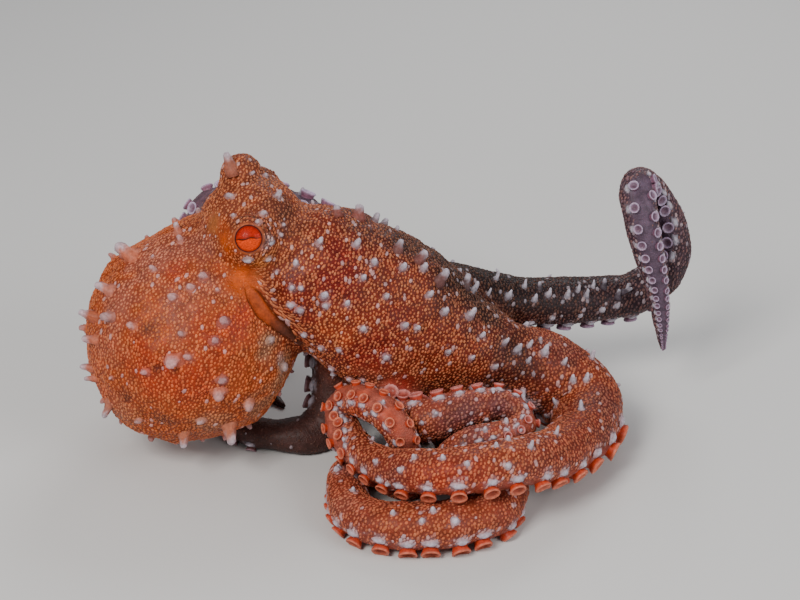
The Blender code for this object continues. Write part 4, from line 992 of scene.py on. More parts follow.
# Places on an arm's side at the given sections and turns, centre + side * half * cos + face *
# thick * sin, and the ways out of the skin there.
def onArmSide(tube, at, turn, flat=1.0):
    wide, high = np.cos(turn)[:, None], (np.sin(turn) * flat)[:, None]
    side, face = tube["side"][at], tube["face"][at]
    half, thick = tube["half"][at, None], tube["thick"][at, None]
    places = tube["centre"][at] + side * half * wide + face * thick * high
    return places, unit(side * (wide / half) + face * (high / thick))


# The values of each growth that is kept.
def keepOnly(found, kept):
    return {key: values[kept] for key, values in found.items()}


# Root, outward way, way along the arm, size, side and section of each sucker that no other skin
# covers.
def suckerPlaces(arm):
    tube = tubes[arm]
    step = tube["length"] / (len(tube["half"]) - 1.0)
    spacing = sucker["closer"].get(arm, sucker["spacing"])
    marks = np.cumsum(step / (0.5 * spacing * np.maximum(tube["half"], sucker["leastHalf"])))
    at = np.searchsorted(marks, np.arange(1.0, marks[-1]))
    sign = np.where(np.arange(len(at)) % 2 == 0, 1.0, -1.0)
    roots, outward = onArmSide(tube, at, 0.5 * math.pi + sign * sucker["spread"], tube["flat"])
    size = np.maximum(sucker["radius"] * tube["half"][at], sucker["least"])
    tips = roots + outward * (sucker["clear"] * size)[:, None]
    found = dict(roots=roots, outward=outward, along=tube["tangent"][at], size=size, sign=sign, at=at)
    return keepOnly(found, ~insideSkin(tips) & (tips[:, 2] > -sucker["sunk"] * size))


suckerSets = {arm: suckerPlaces(arm) for arm in armRoutes}
patchHits = {(x, y): onSkin(x, y) for x, y, _, _, _ in patches}
patchSpots = {pixel: hit[0] for pixel, hit in patchHits.items() if hit is not None}
print("patches off the skin:", [pixel for pixel, hit in patchHits.items() if hit is None])
refineSkin()
shapeSkin()
tree = skinTree()
print("skin shaped,", len(skin.data.vertices), "points,",
      sum(len(p.vertices) - 2 for p in skin.data.polygons), "triangles")

# Growths: suckers, papillae, warts and granules. Each kind is one joined mesh made from arrays.

# A piece from points in millimetres and a list of face arrays of one corner count each.
def arrayPiece(name, points, faces):
    corners = np.concatenate([part.ravel() for part in faces]).astype(np.int32)
    sizes = np.concatenate([np.full(len(part), part.shape[1]) for part in faces])
    mesh = bpy.data.meshes.new(name)
    mesh.vertices.add(len(points))
    mesh.loops.add(len(corners))
    mesh.polygons.add(len(sizes))
    mesh.loops.foreach_set("vertex_index", corners)
    mesh.polygons.foreach_set("loop_start", (np.cumsum(sizes) - sizes).astype(np.int32))
    setPoints(mesh, points)
    mesh.update(calc_edges=True)
    mesh.validate()
    return addObject(name, mesh)


# Each growth is its profile of (radius, height) turned about its outward axis: root + outward *
# height + (across * cos + lengthways * stretch * sin) * radius, rippled round and bent by the square
# of its height. The last profile point is the pole.
def growthShapes(roots, outward, lengthways, sizes, profile, sides, ripple=0.0, bend=None, stretch=1.0,
                 seed=1):
    profile = np.asarray(profile, float)
    count, rings = len(roots), len(profile) - 1
    across = unit(np.cross(lengthways, outward))
    along = np.cross(outward, across)
    turn = np.linspace(0.0, 2.0 * math.pi, sides, endpoint=False)
    draw = np.random.default_rng(seed)
    wave = 1.0 + ripple * draw.uniform(-1.0, 1.0, (count, rings, sides))
    radius = sizes[:, 0, None, None] * profile[:rings, 0, None] * wave
    circle = (across[:, None, None] * (radius * np.cos(turn))[..., None]
              + along[:, None, None] * (radius * stretch * np.sin(turn))[..., None])
    rise = sizes[:, 1, None] * profile[:, 1]
    spine = roots[:, None] + outward[:, None] * rise[..., None]
    if bend is not None:
        spine = spine + bend[:, None] * (np.clip(profile[:, 1], 0.0, None) ** 2)[:, None]
    body = (spine[:, :rings, None] + circle).reshape(count, rings * sides, 3)
    points = np.concatenate((body, spine[:, rings:]), 1)
    ring = np.arange(rings * sides).reshape(rings, sides)
    first = (np.arange(count) * (rings * sides + 1))[:, None, None]
    faces = [(ringQuads(ring) + first).reshape(-1, 4),
             (poleFan(ring[-1], rings * sides) + first).reshape(-1, 3),
             (ring[0][None, ::-1] + first[:, 0]).reshape(-1, sides)]
    height = np.concatenate((np.repeat(profile[:rings, 1], sides), profile[rings:, 1]))
    return points, faces, height


# Evenly scattered places on a mesh: random ones by area, kept where none kept is nearer than the
# pitch. Cells of that pitch are taken in turn by their place in a block of three.
def surfacePlaces(mesh, pitch, seed, tries=14):
    points = getPoints(mesh)
    mesh.calc_loop_triangles()
    corners = readAll(mesh.loop_triangles, "vertices", np.int32, 3)
    a, b, c = (points[corners[:, k]] for k in range(3))
    area = 0.5 * np.linalg.norm(np.cross(b - a, c - a), axis=1)
    draw = np.random.default_rng(seed)
    total = int(area.sum() / pitch ** 2 * tries)
    chosen = np.searchsorted(np.cumsum(area) / area.sum(), draw.uniform(0.0, 1.0, total))
    chosen = np.minimum(chosen, len(corners) - 1)
    s, t = np.sqrt(draw.uniform(size=total)), draw.uniform(size=total)
    share = np.stack((1.0 - s, s * (1.0 - t), s * t), 1)
    places = sum(share[:, k:k + 1] * points[corners[chosen, k]] for k in range(3))
    normals = getNormals(mesh)
    outward = unit(sum(share[:, k:k + 1] * normals[corners[chosen, k]] for k in range(3)))
    cell = ((places - places.min(0)) / pitch).astype(int) + 1
    shape = cell.max(0) + 2
    flat = (cell[:, 0] * shape[1] + cell[:, 1]) * shape[2] + cell[:, 2]
    block = (cell[:, 0] % 3) * 9 + (cell[:, 1] % 3) * 3 + cell[:, 2] % 3
    held = np.full(int(np.prod(shape)), -1, np.int32)
    beside = (-1, 0, 1)
    steps = [(i * shape[1] + j) * shape[2] + k for i in beside for j in beside for k in beside]
    for turn in range(tries):
        part = np.arange(turn, total, tries)
        for number in range(27):
            rows = part[block[part] == number]
            rows = rows[np.unique(flat[rows], return_index=True)[1]]
            rows = rows[held[flat[rows]] < 0]
            clear = np.ones(len(rows), bool)
            for step in steps:
                other = held[flat[rows] + step]
                gap = np.linalg.norm(places[rows] - places[other], axis=1)
                clear &= (other < 0) | (gap > pitch)
            held[flat[rows[clear]]] = rows[clear]
    kept = np.sort(held[held >= 0])
    return places[kept], outward[kept]


bakeMap = dict(patch=0.003, turret=17.0)  # width of each growth's patch of the map


# Where each point lies on the skin laid flat: one strip for each tube, its length along u and its
# turn across, and one for the head by its two angles.
def skinUnwrap(points):
    gaps, places = [], []
    for tube in tubes.values():
        gap, best, turn = tubeDistance(tube, points)
        gaps.append(gap)
        places.append((best / (len(tube["half"]) - 1.0), turn / (2 * math.pi) + 0.5))
    gaps.append(headDistance(points, head["meanRadius"], bakeMap["turret"]))
    off = (points - head["centre"]) / head["radii"]
    places.append((np.arctan2(off[:, 1], off[:, 0]) / (2 * math.pi) + 0.5,
                   np.arccos(np.clip(unit(off)[:, 2], -1, 1)) / math.pi))
    strip = np.argmin(gaps, 0)
    along, across = np.array(places)[strip, :, np.arange(len(points))].T
    return np.stack((0.02 + 0.96 * along, (strip + 0.06 + 0.88 * across) / len(gaps)), 1)


# Some direction along the surface for each outward one, from the vertical where that isn't steep.
def crossWay(outward, steep=0.9):
    return unit(np.cross(outward, np.where(np.abs(outward[:, 2:]) < steep, (0.0, 0.0, 1.0), right)))


# A small patch for each growth, at its root's place on the skin laid flat.
def giveBakeMap(piece, roots, outward, points, count):
    centre = np.repeat(skinUnwrap(roots), count, 0)
    across = crossWay(outward, 0.8)
    high = np.cross(outward, across)
    off = points.reshape(len(roots), count, 3) - roots[:, None]
    local = np.stack(((off * across[:, None]).sum(2), (off * high[:, None]).sum(2)), 2)
    local /= np.abs(local).max((1, 2), keepdims=True) + 1e-9
    corners = readAll(piece.data.loops, "vertex_index", np.int32, 1)[:, 0]
    layer = piece.data.uv_layers.new(name="OFBake")
    flat = (centre + 0.5 * bakeMap["patch"] * local.reshape(-1, 2))[corners]
    layer.data.foreach_set("uv", flat.astype(np.float32).ravel())


growthFinish = dict(mottleScale=700.0, dark=0.80, light=1.20, grainScale=1500.0, bumpStrength=0.35,
                    bumpHeight=0.0003, coatRoughness=0.3, specular=0.22, subsurface=0.10,
                    subsurfaceRadius=(1.0, 0.45, 0.3), subsurfaceSize=0.0014)


# Flesh of the growths: their own colours with fine mottling and grain.
def growthMaterial(name, roughness, coat):
    g, look = Graph(name), growthFinish
    colour, place = g.mottledTint(look["mottleScale"], look["dark"], look["light"])[:2]
    g.bump(g.noise(place, look["grainScale"], 2.0), look["bumpStrength"], look["bumpHeight"])
    return g.flesh(colour, look, roughness, coat)


papillaFlesh = growthMaterial("papillaFlesh", 0.55, 0.02)
suckerFlesh = growthMaterial("suckerFlesh", 0.42, 0.08)
granuleFlesh = growthMaterial("granuleFlesh", 0.48, 0.03)


# A joined piece of growths in the shape that the spec gives, coloured by a function of the height
# share.
def makeGrowths(name, spec, roots, outward, lengthways, sizes, colours, material, **extra):
    points, faces, height = growthShapes(roots, outward, lengthways, sizes, spec["profile"],
                                         spec["sides"], **extra)
    count = points.shape[1]
    flat = points.reshape(-1, 3)
    flat[:, 2] = np.maximum(flat[:, 2], floorLevel)
    piece = arrayPiece(name, flat, faces)
    giveBakeMap(piece, roots, outward, flat, count)
    finishPiece(piece, colours(height).reshape(-1, 3), material)
    triangles = sum(len(f) * (f.shape[1] - 2) for f in faces)
    print(name + ",", len(roots), "growths,", triangles, "triangles")


# Papillae: those that the picture shows stand where its lines of sight meet the skin.
papilla = dict(sides=10, radius=1.6, height=2.9, pitch=11.5, clearEye=13.0, apart=7.5, slim=0.72,
               inView=0.10, onArms=0.78, leastHalf=4.0, leastHeight=6.0,
               white=dict(mantle=0.34, head=0.55, other=0.76),
               frost=dict(edge=0.1, arm=0.62, gain=0.8, less=0.12), frostReach=dict(arm=1.75, other=1.65),
               low=dict(edge=0.30, arm=0.0, other=0.22), paling=0.55, patchy=0.16, whites=(0.8, 1.05),
               profile=((1.58, -0.50), (1.40, -0.08), (1.12, 0.15), (0.93, 0.38), (0.80, 0.62),
                        (0.66, 0.83), (0.39, 0.96), (0.0, 1.0)))
# Seen from the side: (pixel of the tip, pixel of the base, width in mm).
papillaEdges = (
    ((117, 246), (131, 256), 3.6), ((97, 285), (110, 291), 2.6), ((81, 312), (95, 317), 2.6),
    ((84, 338), (95, 340), 2.2), ((82, 366), (92, 368), 1.9), ((86, 378), (95, 378), 1.5),
    ((105, 418), (109, 406), 2.0), ((176, 224), (178, 232), 1.8), ((183, 446), (184, 434), 2.4),
    ((231, 443), (229, 426), 3.0), ((228, 154), (231, 168), 2.5), ((359, 206), (358, 216), 3.0),
    ((336, 207), (337, 213), 2.2), ((425, 252), (420, 260), 2.4), ((446, 270), (440, 280), 2.4),
    ((401, 241), (398, 249), 2.0), ((467, 275), (466, 285), 1.9), ((634, 288), (624, 292), 1.6),
    ((605, 277), (604, 286), 1.7), ((539, 281), (540, 288), 1.6), ((619, 288), (618, 296), 1.7))
# Seen on the skin: pixels in groups of (width, height in mm, stretch, lean in the picture).
papillaDots = (
    ((3.3, 3.6, 1.1, (-1.5, 0.6)), ((110, 317), (224, 322))),
    ((2.5, 2.9, 1.2, (-1.0, 0.5)), (
        (133, 326), (182, 334), (191, 288), (204, 277), (181, 241), (154, 270), (173, 298),
        (188, 357), (146, 372), (201, 420), (222, 380), (139, 420), (270, 340), (215, 341))),
    ((3.6, 3.4, 1.3, (-0.6, -2.4)), ((219, 392), (248, 402), (262, 416), (282, 392), (173, 360))),
    ((4.0, 3.0, 1.2, (0.0, -1.0)), ((282, 366),)),
    ((2.2, 1.6, 1.5, (0.0, 0.0)), ((230, 196), (263, 214), (248, 260), (268, 259), (291, 305))),
    ((1.7, 1.6, 1.0, (0.0, 0.0)), (
        (234, 216), (265, 176), (280, 235), (271, 243), (283, 225), (301, 288), (301, 310),
        (258, 222), (212, 176))),
    ((2.3, 3.0, 1.0, (0.5, 1.5)), (
        (277, 197), (301, 194), (319, 243), (296, 264), (292, 288), (325, 296), (304, 335),
        (312, 350), (321, 348), (374, 221), (390, 222), (402, 268), (423, 269), (429, 295),
        (356, 245), (363, 278), (374, 263), (386, 297), (324, 296), (300, 310), (326, 306),
        (347, 304), (404, 326), (417, 328), (444, 312), (448, 352), (471, 358), (482, 336),
        (363, 329), (386, 357), (350, 379), (332, 368), (339, 350), (363, 380))),
    ((2.9, 4.6, 1.0, (0.5, 3.0)), ((469, 316), (517, 350), (544, 353), (531, 323), (549, 329))),
    ((2.2, 3.6, 1.0, (0.5, 2.0)), (
        (494, 367), (504, 343), (529, 346), (528, 361), (568, 338), (591, 358), (625, 380),
        (573, 381), (586, 380), (564, 363), (581, 409), (556, 434), (547, 416), (557, 403),
        (530, 448))),
    ((2.0, 5.0, 1.0, (0.0, -5.0)), ((472, 387), (480, 387), (493, 390), (509, 391), (523, 390))),
    ((2.1, 3.8, 1.0, (0.0, 2.5)), (
        (472, 291), (488, 294), (508, 296), (496, 279), (524, 287), (534, 300), (548, 295),
        (567, 296), (586, 296), (593, 287), (627, 290), (617, 306), (602, 310), (580, 316),
        (552, 318), (578, 291))),
    ((2.0, 2.2, 1.0, (0.0, 0.5)), (
        (467, 464), (450, 430), (422, 423), (430, 441), (436, 414), (486, 419), (506, 422),
        (520, 431), (485, 430), (496, 446), (508, 440), (471, 423), (443, 458), (414, 458),
        (383, 403), (376, 462), (353, 491), (388, 484), (356, 477), (339, 468), (422, 521),
        (433, 511), (353, 403), (366, 414), (345, 440), (372, 440), (400, 470))),
    ((2.5, 2.0, 1.1, (0.0, 0.5)), ((508, 466), (455, 521), (393, 513), (337, 470))))


# The papillae that show: root, outward way, width, height, stretch and bend of each.
def seenPapillae(draw):
    found = []
    for tip, base, wide in papillaEdges:
        across, rise = float(tip[0] - base[0]), float(base[1] - tip[1])
        for back in 0.12 * np.arange(14):  # towards the body until the line of sight meets the skin
            spot = onSkin(base[0] - across * back, base[1] + rise * back)
            if spot is not None:
                way = unit(unit(right * across + up * rise) + 0.25 * spot[1])
                found.append((spot[0], way, wide, np.hypot(across, rise) * 0.5 + 1.0, 1.0, right * 0.0))
                break
    for (wide, tall, stretch, (across, rise)), pixels in papillaDots:
        for spot in (onSkin(x, y) for x, y in pixels):
            if spot is not None:
                size = draw.uniform(0.82, 1.18)
                found.append((*spot, wide * papilla["slim"] * size, tall * size, stretch,
                              right * across + up * rise))
    return found


# All papillae: those that show, and those scattered where no line of sight reaches the skin.
def papillaPlaces():
    draw = np.random.default_rng(21)
    found = seenPapillae(draw)
    seen = np.array([item[0] for item in found])
    places, normals = surfacePlaces(skin.data, papilla["pitch"], 8)
    apart = np.linalg.norm(places[:, None] - seen[None], axis=2).min(1)
    apartEye = np.min([distance(places, centre) for centre, _ in eyes], 0)
    oral = np.zeros(len(places), bool)
    thick = np.full(len(places), 30.0)
    nearest = np.full(len(places), 1e6)
    for name, tube in tubes.items():
        gap, best, turn = tubeDistance(tube, places)
        closer = gap < nearest
        nearest = np.where(closer, gap, nearest)
        thick = np.where(closer, tube["half"][best], thick)
        oral = np.where(closer, (name in armRoutes) & (np.sin(turn) > 0.1), oral)
    start = onPixel(*camera["middle"])[0]
    wanted = (apart > papilla["apart"]) & (apartEye > papilla["clearEye"]) & ~oral \
        & (thick > papilla["leastHalf"]) & (places[:, 2] > papilla["leastHeight"])
    for k in np.flatnonzero(wanted):
        way = places[k] - start
        hit = tree.ray_cast(Vector(start), Vector(unit(way)))[3]
        onView = hit is not None and abs(hit - np.linalg.norm(way)) < 1.5
        if onView and draw.uniform() > papilla["inView"]:
            continue
        size = draw.uniform(0.7, 1.2) * np.clip(thick[k] / 16.0, 0.4, 1.0) * (0.7 if onView else 1.0)
        found.append((places[k], normals[k], papilla["radius"] * size, papilla["height"] * size, 1.0,
                      draw.normal(0.0, 0.5, 3)))
    return found


# A pale star-shaped wart on the skin beside each sucker.
wart = dict(sides=10, radius=0.13, height=0.10, stretch=1.6, turn=math.radians(27.0), frost=0.68,
            reach=0.30, leastHalf=3.0,
            profile=((1.45, -0.30), (1.10, 0.10), (0.76, 0.55), (0.40, 0.90), (0.0, 1.0)))


# Beside each sucker, further round towards the arm's back, where the arm is wide enough.
def wartPlaces(arm):
    beside, tube = suckerSets[arm], tubes[arm]
    half = tube["half"][beside["at"]]
    turn = 0.5 * math.pi + beside["sign"] * (sucker["spread"] + wart["turn"])
    roots, outward = onArmSide(tube, beside["at"], turn)
    found = dict(roots=roots, outward=outward, along=beside["along"], half=half)
    clear = (half > wart["leastHalf"]) & ~insideSkin(roots + outward * 1.5) & (roots[:, 2] > 1.0)
    return keepOnly(found, clear)


# The values of several sets of growths in one.
def joinSets(sets):
    return {key: np.concatenate([found[key] for found in sets]) for key in sets[0]}


papillaRoots, papillaOutward, papillaWide, papillaTall, papillaStretch, papillaBend = (
    np.array(column) for column in zip(*papillaPlaces()))
warts = joinSets([wartPlaces(arm) for arm in armRoutes])
print(len(papillaRoots), "papillae and", len(warts["roots"]), "warts placed")

# The skin turns white and ragged about them, most on the arms.
onArm = np.min([tubeDistance(tubes[arm], papillaRoots)[0] for arm in armRoutes], 0) < 1.5
papillaSizes = np.stack((papillaWide, papillaTall), 1) * np.where(onArm, papilla["onArms"], 1.0)[:, None]
onEdge = np.arange(len(papillaRoots)) < len(papillaEdges)
onHead = np.linalg.norm((papillaRoots - head["centre"]) / head["radii"], axis=1) < 1.25
mantleGap, crownGap = (tubeDistance(tubes[name], papillaRoots)[0] for name in ("mantle", "crown"))
onMantle = (mantleGap < 7.0) & (mantleGap < crownGap) & ~onArm
shares = papilla["white"]
papillaWhite = np.where(onHead, shares["head"], np.where(onMantle, shares["mantle"], shares["other"]))
papillaWhite = np.where(onEdge, shares["other"], papillaWhite)
shares = papilla["frost"]
papillaFrost = np.where(onArm, shares["arm"], shares["gain"] * papillaWhite - shares["less"])
papillaFrost = np.where(onEdge, shares["edge"], papillaFrost)
papillaReach = np.where(onArm, papilla["frostReach"]["arm"], papilla["frostReach"]["other"])
frosty.update(roots=np.concatenate((papillaRoots, warts["roots"])),
              reach=np.concatenate((papillaSizes[:, 0] * papillaReach, warts["half"] * wart["reach"])),
              amount=np.concatenate((papillaFrost, np.full(len(warts["roots"]), wart["frost"]))))
ownPieces = ("eye_right", "eye_left", "funnel")
finishPiece(skin, netTint(*skinLook(getPoints(skin.data))), fleshMaterial("spottedSkin"),
            [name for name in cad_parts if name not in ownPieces])
print("skin coloured")

suckers = joinSets(list(suckerSets.values()))
suckerSide, suckerRim = (
    np.concatenate([np.repeat(linear(*suckerTints[arm][k])[None], len(found["roots"]), 0)
                    for arm, found in suckerSets.items()]) for k in (0, 1))


# Ruddy sides, a pale rim, and painted shade that darkens the foot a little and the hollow of the cup more.
def suckerColours(height):
    rings = len(sucker["profile"]) - 1
    ring = np.concatenate((np.repeat(np.arange(rings), sucker["sides"]), (rings,)))
    rim, shade = (np.interp(ring, *sucker[key])[:, None] for key in ("rim", "shade"))
    return blend(suckerSide[:, None], suckerRim[:, None], rim) * shade


suckerTall = suckers["size"] * sucker["reach"] / sucker["radius"]
makeGrowths("suckers", sucker, suckers["roots"], suckers["outward"], suckers["along"],
            np.stack((suckers["size"], suckerTall), 1), suckerColours, suckerFlesh, ripple=0.03, seed=3)
papillaTint = skinLook(papillaRoots)[0]


# The skin's own tint at the foot, paling to lilac white at the tip.
def papillaColours(height):
    draw, ends = np.random.default_rng(5), papilla["low"]
    patchy = draw.uniform(-papilla["patchy"], papilla["patchy"], (len(papillaTint), len(height)))
    low = np.where(onEdge, ends["edge"], np.where(onArm, ends["arm"], ends["other"]))[:, None]
    share = smooth(low, low + papilla["paling"], height[None] + patchy)[:, :, None]
    white = tones["white"] * draw.uniform(*papilla["whites"], (len(papillaTint), 1))
    tip = blend(papillaTint, white, papillaWhite[:, None])
    return blend(papillaTint[:, None] * 0.95, tip[:, None], share)


makeGrowths("papillae", papilla, papillaRoots, papillaOutward, crossWay(papillaOutward), papillaSizes,
            papillaColours, papillaFlesh, ripple=0.21, seed=6, bend=papillaBend,
            stretch=papillaStretch[:, None, None])
wartTint = skinLook(warts["roots"])[0]


# The skin's own tint, paling towards the top.
def wartColours(height):
    share = 0.8 * smooth(-0.1, 0.8, height)[None, :, None]
    return blend(wartTint[:, None], tones["white"] * 0.9, share)


makeGrowths("warts", wart, warts["roots"], warts["outward"], warts["along"],
            warts["half"][:, None] * (wart["radius"], wart["height"]), wartColours, papillaFlesh,
            ripple=0.30, seed=9, stretch=wart["stretch"])

# Granules: the pale grain of the skin, as low domes with the dark net of the skin between them.
granule = dict(sides=5, pitch=dict(mantle=1.50, crown=1.46, arms=1.56), radius=0.52, height=0.26,
               clearEye=7.3, leastHeight=0.6, turret=18.5, keptLeast=0.04, keptMore=1.3,
               sizes=(0.55, 1.15), sizeLeast=0.6, sizeMore=0.4, frostSize=0.3, stretch=(1.15, 1.75),
               large=0.05, largeOnMantle=0.4, largeScale=1.6, largest=1.5, largeWhite=0.35,
               streakEnds=(13.0, 5.0), streakStretch=0.9, sideways=0.3, scatter=0.45, bright=(0.0, 0.75),
               profile=((1.10, -0.30), (0.85, 0.62), (0.0, 1.0)),
               pieces=dict(mantle=("mantle",), crown=("crown",), arms=("topArms", "lowArms", "leftArms")))
pieceNames = [part for parts in granule["pieces"].values() for part in parts]
# The number of the piece of each tube: mantle, crown, r1 and r2, r3 and r4, and the four left arms.
pieceOfTube = np.array((0, 1, 2, 2, 3, 3, 4, 4, 4, 4))


# Which piece of granules each place belongs to; the head goes with the crown.
def ownerOf(points):
    gaps = np.stack([tubeDistance(tube, points)[0] for tube in tubes.values()], 1)
    nearHead = headDistance(points, head["swell"], granule["turret"]) < gaps.min(1)
    return np.where(nearHead, pieceNames.index("crown"), pieceOfTube[gaps.argmin(1)])


# Granules of one piece: net colour at the foot and their own bright colour at the top.
def granuleColours(height, net, bright):
    return blend(net[:, None], bright[:, None], smooth(*granule["bright"], height)[None, :, None])


leafWay = unit(leafLine[-1, :3] - leafLine[0, :3])
draw = np.random.default_rng(33)
for seed, (groupName, parts) in zip((41, 42, 43), granule["pieces"].items()):
    pitch = granule["pitch"][groupName]
    places, normals = surfacePlaces(skin.data, pitch, seed)
    owner = ownerOf(places)
    wanted = np.isin(owner, [pieceNames.index(part) for part in parts]) \
        & (places[:, 2] > granule["leastHeight"])
    for centre, look in eyes:
        off = places - centre
        aside = np.linalg.norm(np.cross(off, look), axis=1)
        wanted &= (aside > granule["clearEye"]) | (off @ look < 0.0)
    places, normals, owner = places[wanted], normals[wanted], owner[wanted]
    tint, share, pop = skinLook(places)
    kept = draw.uniform(size=len(places)) < granule["keptLeast"] + granule["keptMore"] * share
    places, normals, owner = places[kept], normals[kept], owner[kept]
    tint, share, pop = tint[kept], share[kept], pop[kept]
    scale = draw.uniform(*granule["sizes"], len(places))
    scale = scale * (granule["sizeLeast"] + granule["sizeMore"] * share)
    scale = scale * (1.0 + granule["frostSize"] * frost(places))
    odds = np.where(owner == 0, granule["largeOnMantle"], 1.0) * granule["large"]
    large = draw.uniform(size=len(places)) < odds
    scale = np.where(large, np.minimum(scale * granule["largeScale"], granule["largest"]), scale)
    # by the mantle's opening they lie along it, as streaks
    gap, nearest = leafShare(places)
    beyond = places[:, 0] > leafLine[nearest, 0]
    streak = smooth(*granule["streakEnds"], gap * leafLine[nearest, 6]) * beyond
    stretch = draw.uniform(*granule["stretch"], len(places)) + granule["streakStretch"] * streak
    bright = grainTint(tint, pop, draw)
    bright = np.where(large[:, None], blend(bright, tones["white"], granule["largeWhite"]), bright)
    net = netTint(tint, share, pop)
    for part in parts:
        own = owner == pieceNames.index(part)
        sizes = scale[own, None] * pitch * np.array((granule["radius"], granule["height"]))
        upright = unit(up + granule["sideways"] * right + (leafWay - up) * streak[own, None])
        aside = granule["scatter"] * crossWay(normals[own]) * draw.uniform(-1, 1, (own.sum(), 1))
        upright = unit(upright + aside)
        makeGrowths("granules_" + part, granule, places[own], normals[own], upright, sizes,
                    lambda height: granuleColours(height, net[own], bright[own]), granuleFlesh,
                    ripple=0.12, seed=12, stretch=stretch[own, None, None])

# Eyes: fine balls with a red iris and a dark, slightly wavy slit that lies level.
eye = dict(rings=150, sides=180, crowding=1.25, grain=0.16, spokes=0.08, wave=0.28, tilt=0.12,
           dusk=0.55, slitHalf=0.34, slitReach=5.9, slitDark=0.92, rimRadius=6.25, lineRadius=5.55,
           line=0.45,
           upper=linear(170, 30, 3), lower=linear(206, 60, 2), slit=linear(30, 9, 8),
           rim=linear(70, 18, 14), white=linear(150, 96, 70))


# Iris colours at x along the slit and y above it, in mm from the middle of the opening.
def eyeColours(x, y):
    points = np.stack((x, y, 0.0 * x), 1)
    grain = waves(points, 0.9, 51, 30)
    above = y - (eye["wave"] * np.sin(x * 0.95 + 0.6) + eye["tilt"] * x)  # over the wavy slit
    tint = blend(eye["lower"], eye["upper"], smooth(-0.7, 1.2, above + 0.3 * grain)[:, None])
    tint = tint * (1.0 + eye["grain"] * grain * smooth(6.5, 3.0, np.abs(y)))[:, None]
    spoke = waves(np.stack((np.arctan2(y, x) * 6.0, 0.0 * x, 0.0 * x), 1), 1.1, 53)
    tint = tint * (1.0 + eye["spokes"] * spoke)[:, None]
    dusk = eye["dusk"] * smooth(1.5, 0.3, above) * smooth(-0.1, 0.3, above) * smooth(5.9, 3.0, np.abs(x))
    tint = tint * (1.0 - dusk)[:, None]
    width = eye["slitHalf"] * np.sqrt(np.clip(1.0 - (x / eye["slitReach"]) ** 2, 0.0, 1.0))
    width = width * (0.75 + 0.5 * smooth(-1.0, -4.5, x))
    slit = smooth(0.16, -0.10, np.abs(above) - width)[:, None]
    tint = tint + (eye["slit"] - tint) * eye["slitDark"] * slit
    radius = np.hypot(x, y)
    ring = smooth(0.55, 0.12, np.abs(radius - eye["rimRadius"])) + smooth(6.2, 7.2, radius)
    line = eye["line"] * smooth(0.30, 0.05, np.abs(radius - eye["lineRadius"]))
    tint = blend(tint, eye["rim"], np.clip(ring + line, 0.0, 1.0)[:, None])
    return blend(tint, eye["white"], smooth(8.0, 8.8, radius)[:, None])


# A ball: rings about the look axis, closest together where the eye is open.
def makeEye(name, node, centre, look):
    level, high = eyeAxes(look)
    angle = (np.linspace(0.0, 1.0, eye["rings"] + 1)[1:-1] ** eye["crowding"] * math.pi)[:, None]
    turn = np.linspace(0.0, 2.0 * math.pi, eye["sides"], endpoint=False)[None]
    flat = level * np.cos(turn)[..., None] + high * np.sin(turn)[..., None]
    out = look * np.cos(angle)[..., None] + flat * np.sin(angle)[..., None]
    points, faces = closedShells([centre + head["eyeRadius"] * out])
    piece = newPiece(name, points, faces)
    pointOutward(piece)
    off = points - centre
    radius = np.where(off @ look > 0, np.linalg.norm(np.cross(off, look), axis=1), head["eyeRadius"])
    around = unit(off - np.outer(off @ look, look) + 1e-9)
    tint = eyeColours(radius * (around @ level), radius * (around @ high))
    finishPiece(piece, np.clip(tint, 0.001, 1.0), eyeFinish, [node])


iris = Graph("wetIris")
eyeFinish = iris.finish(iris.mottledTint(1600.0, 0.78, 1.15)[0], Roughness=0.45, Coat_Weight=0.04,
                        Coat_Roughness=0.10, Specular_IOR_Level=0.1)
makeEye("eyeRight", "eye_right", *eyes[0])
makeEye("eyeLeft", "eye_left", *eyes[1])
print("eyes,", eye["rings"], "rings of", eye["sides"], "points")

# Lids: the thin dark edge of the skin round each eye.
lid = dict(rings=26, sides=150,
           profile=((6.00, 6.10), (6.12, 6.72), (6.38, 7.02), (6.80, 7.02), (7.25, 6.62), (7.70, 6.10),
                    (8.10, 5.45), (7.60, 4.90), (6.60, 5.00)))


# Each lid is its profile of (radius, height) turned about the look axis.
def makeLids():
    points, faces, colours, first = [], [], [], 0
    for centre, look in eyes:
        level, high = eyeAxes(look)
        curve = denseCurve(lid["profile"], lid["rings"], 1, measure=2)
        turn = np.linspace(0.0, 2.0 * math.pi, lid["sides"], endpoint=False)
        flat = level * np.cos(turn)[:, None] + high * np.sin(turn)[:, None]
        ripple = 0.10 * np.sin(7.0 * turn + 1.0) * smooth(6.4, 7.2, curve[:, :1])
        grid = centre + look * (curve[:, 1:2] + ripple)[..., None] + flat * curve[:, :1, None]
        grid = grid.reshape(-1, 3)
        index = first + np.arange(len(grid)).reshape(lid["rings"], lid["sides"])
        faces.append(ringQuads(np.vstack((index, index[:1]))))
        edge = smooth(7.0, 6.45, np.repeat(curve[:, 0], lid["sides"]))[:, None]
        colours.append(skinLook(grid)[0] * 0.92 * (1.0 - edge) + eye["rim"] * edge)
        points.append(grid)
        first += len(grid)
    piece = arrayPiece("lids", np.vstack(points), faces)
    pointOutward(piece)
    finishPiece(piece, np.clip(np.vstack(colours), 0.001, 1.0), papillaFlesh)
    print("lids,", len(piece.data.polygons), "faces")


makeLids()

# Funnel: a soft spout that lies sunk in the mantle's opening and ends under the crown, with painted shade
# towards its end and down its bore.
spout = dict(sides=60, sink=1.0, flare=1.25, flat=0.4, beyond=7.0, endRings=14, bore=0.62, boreRings=11,
             widen=0.12, inwards=0.35, deepFrom=0.895, mottle=0.16, tint=linear(154, 62, 16),
             dusk=linear(84, 42, 28), boreShadow=linear(34, 14, 10))


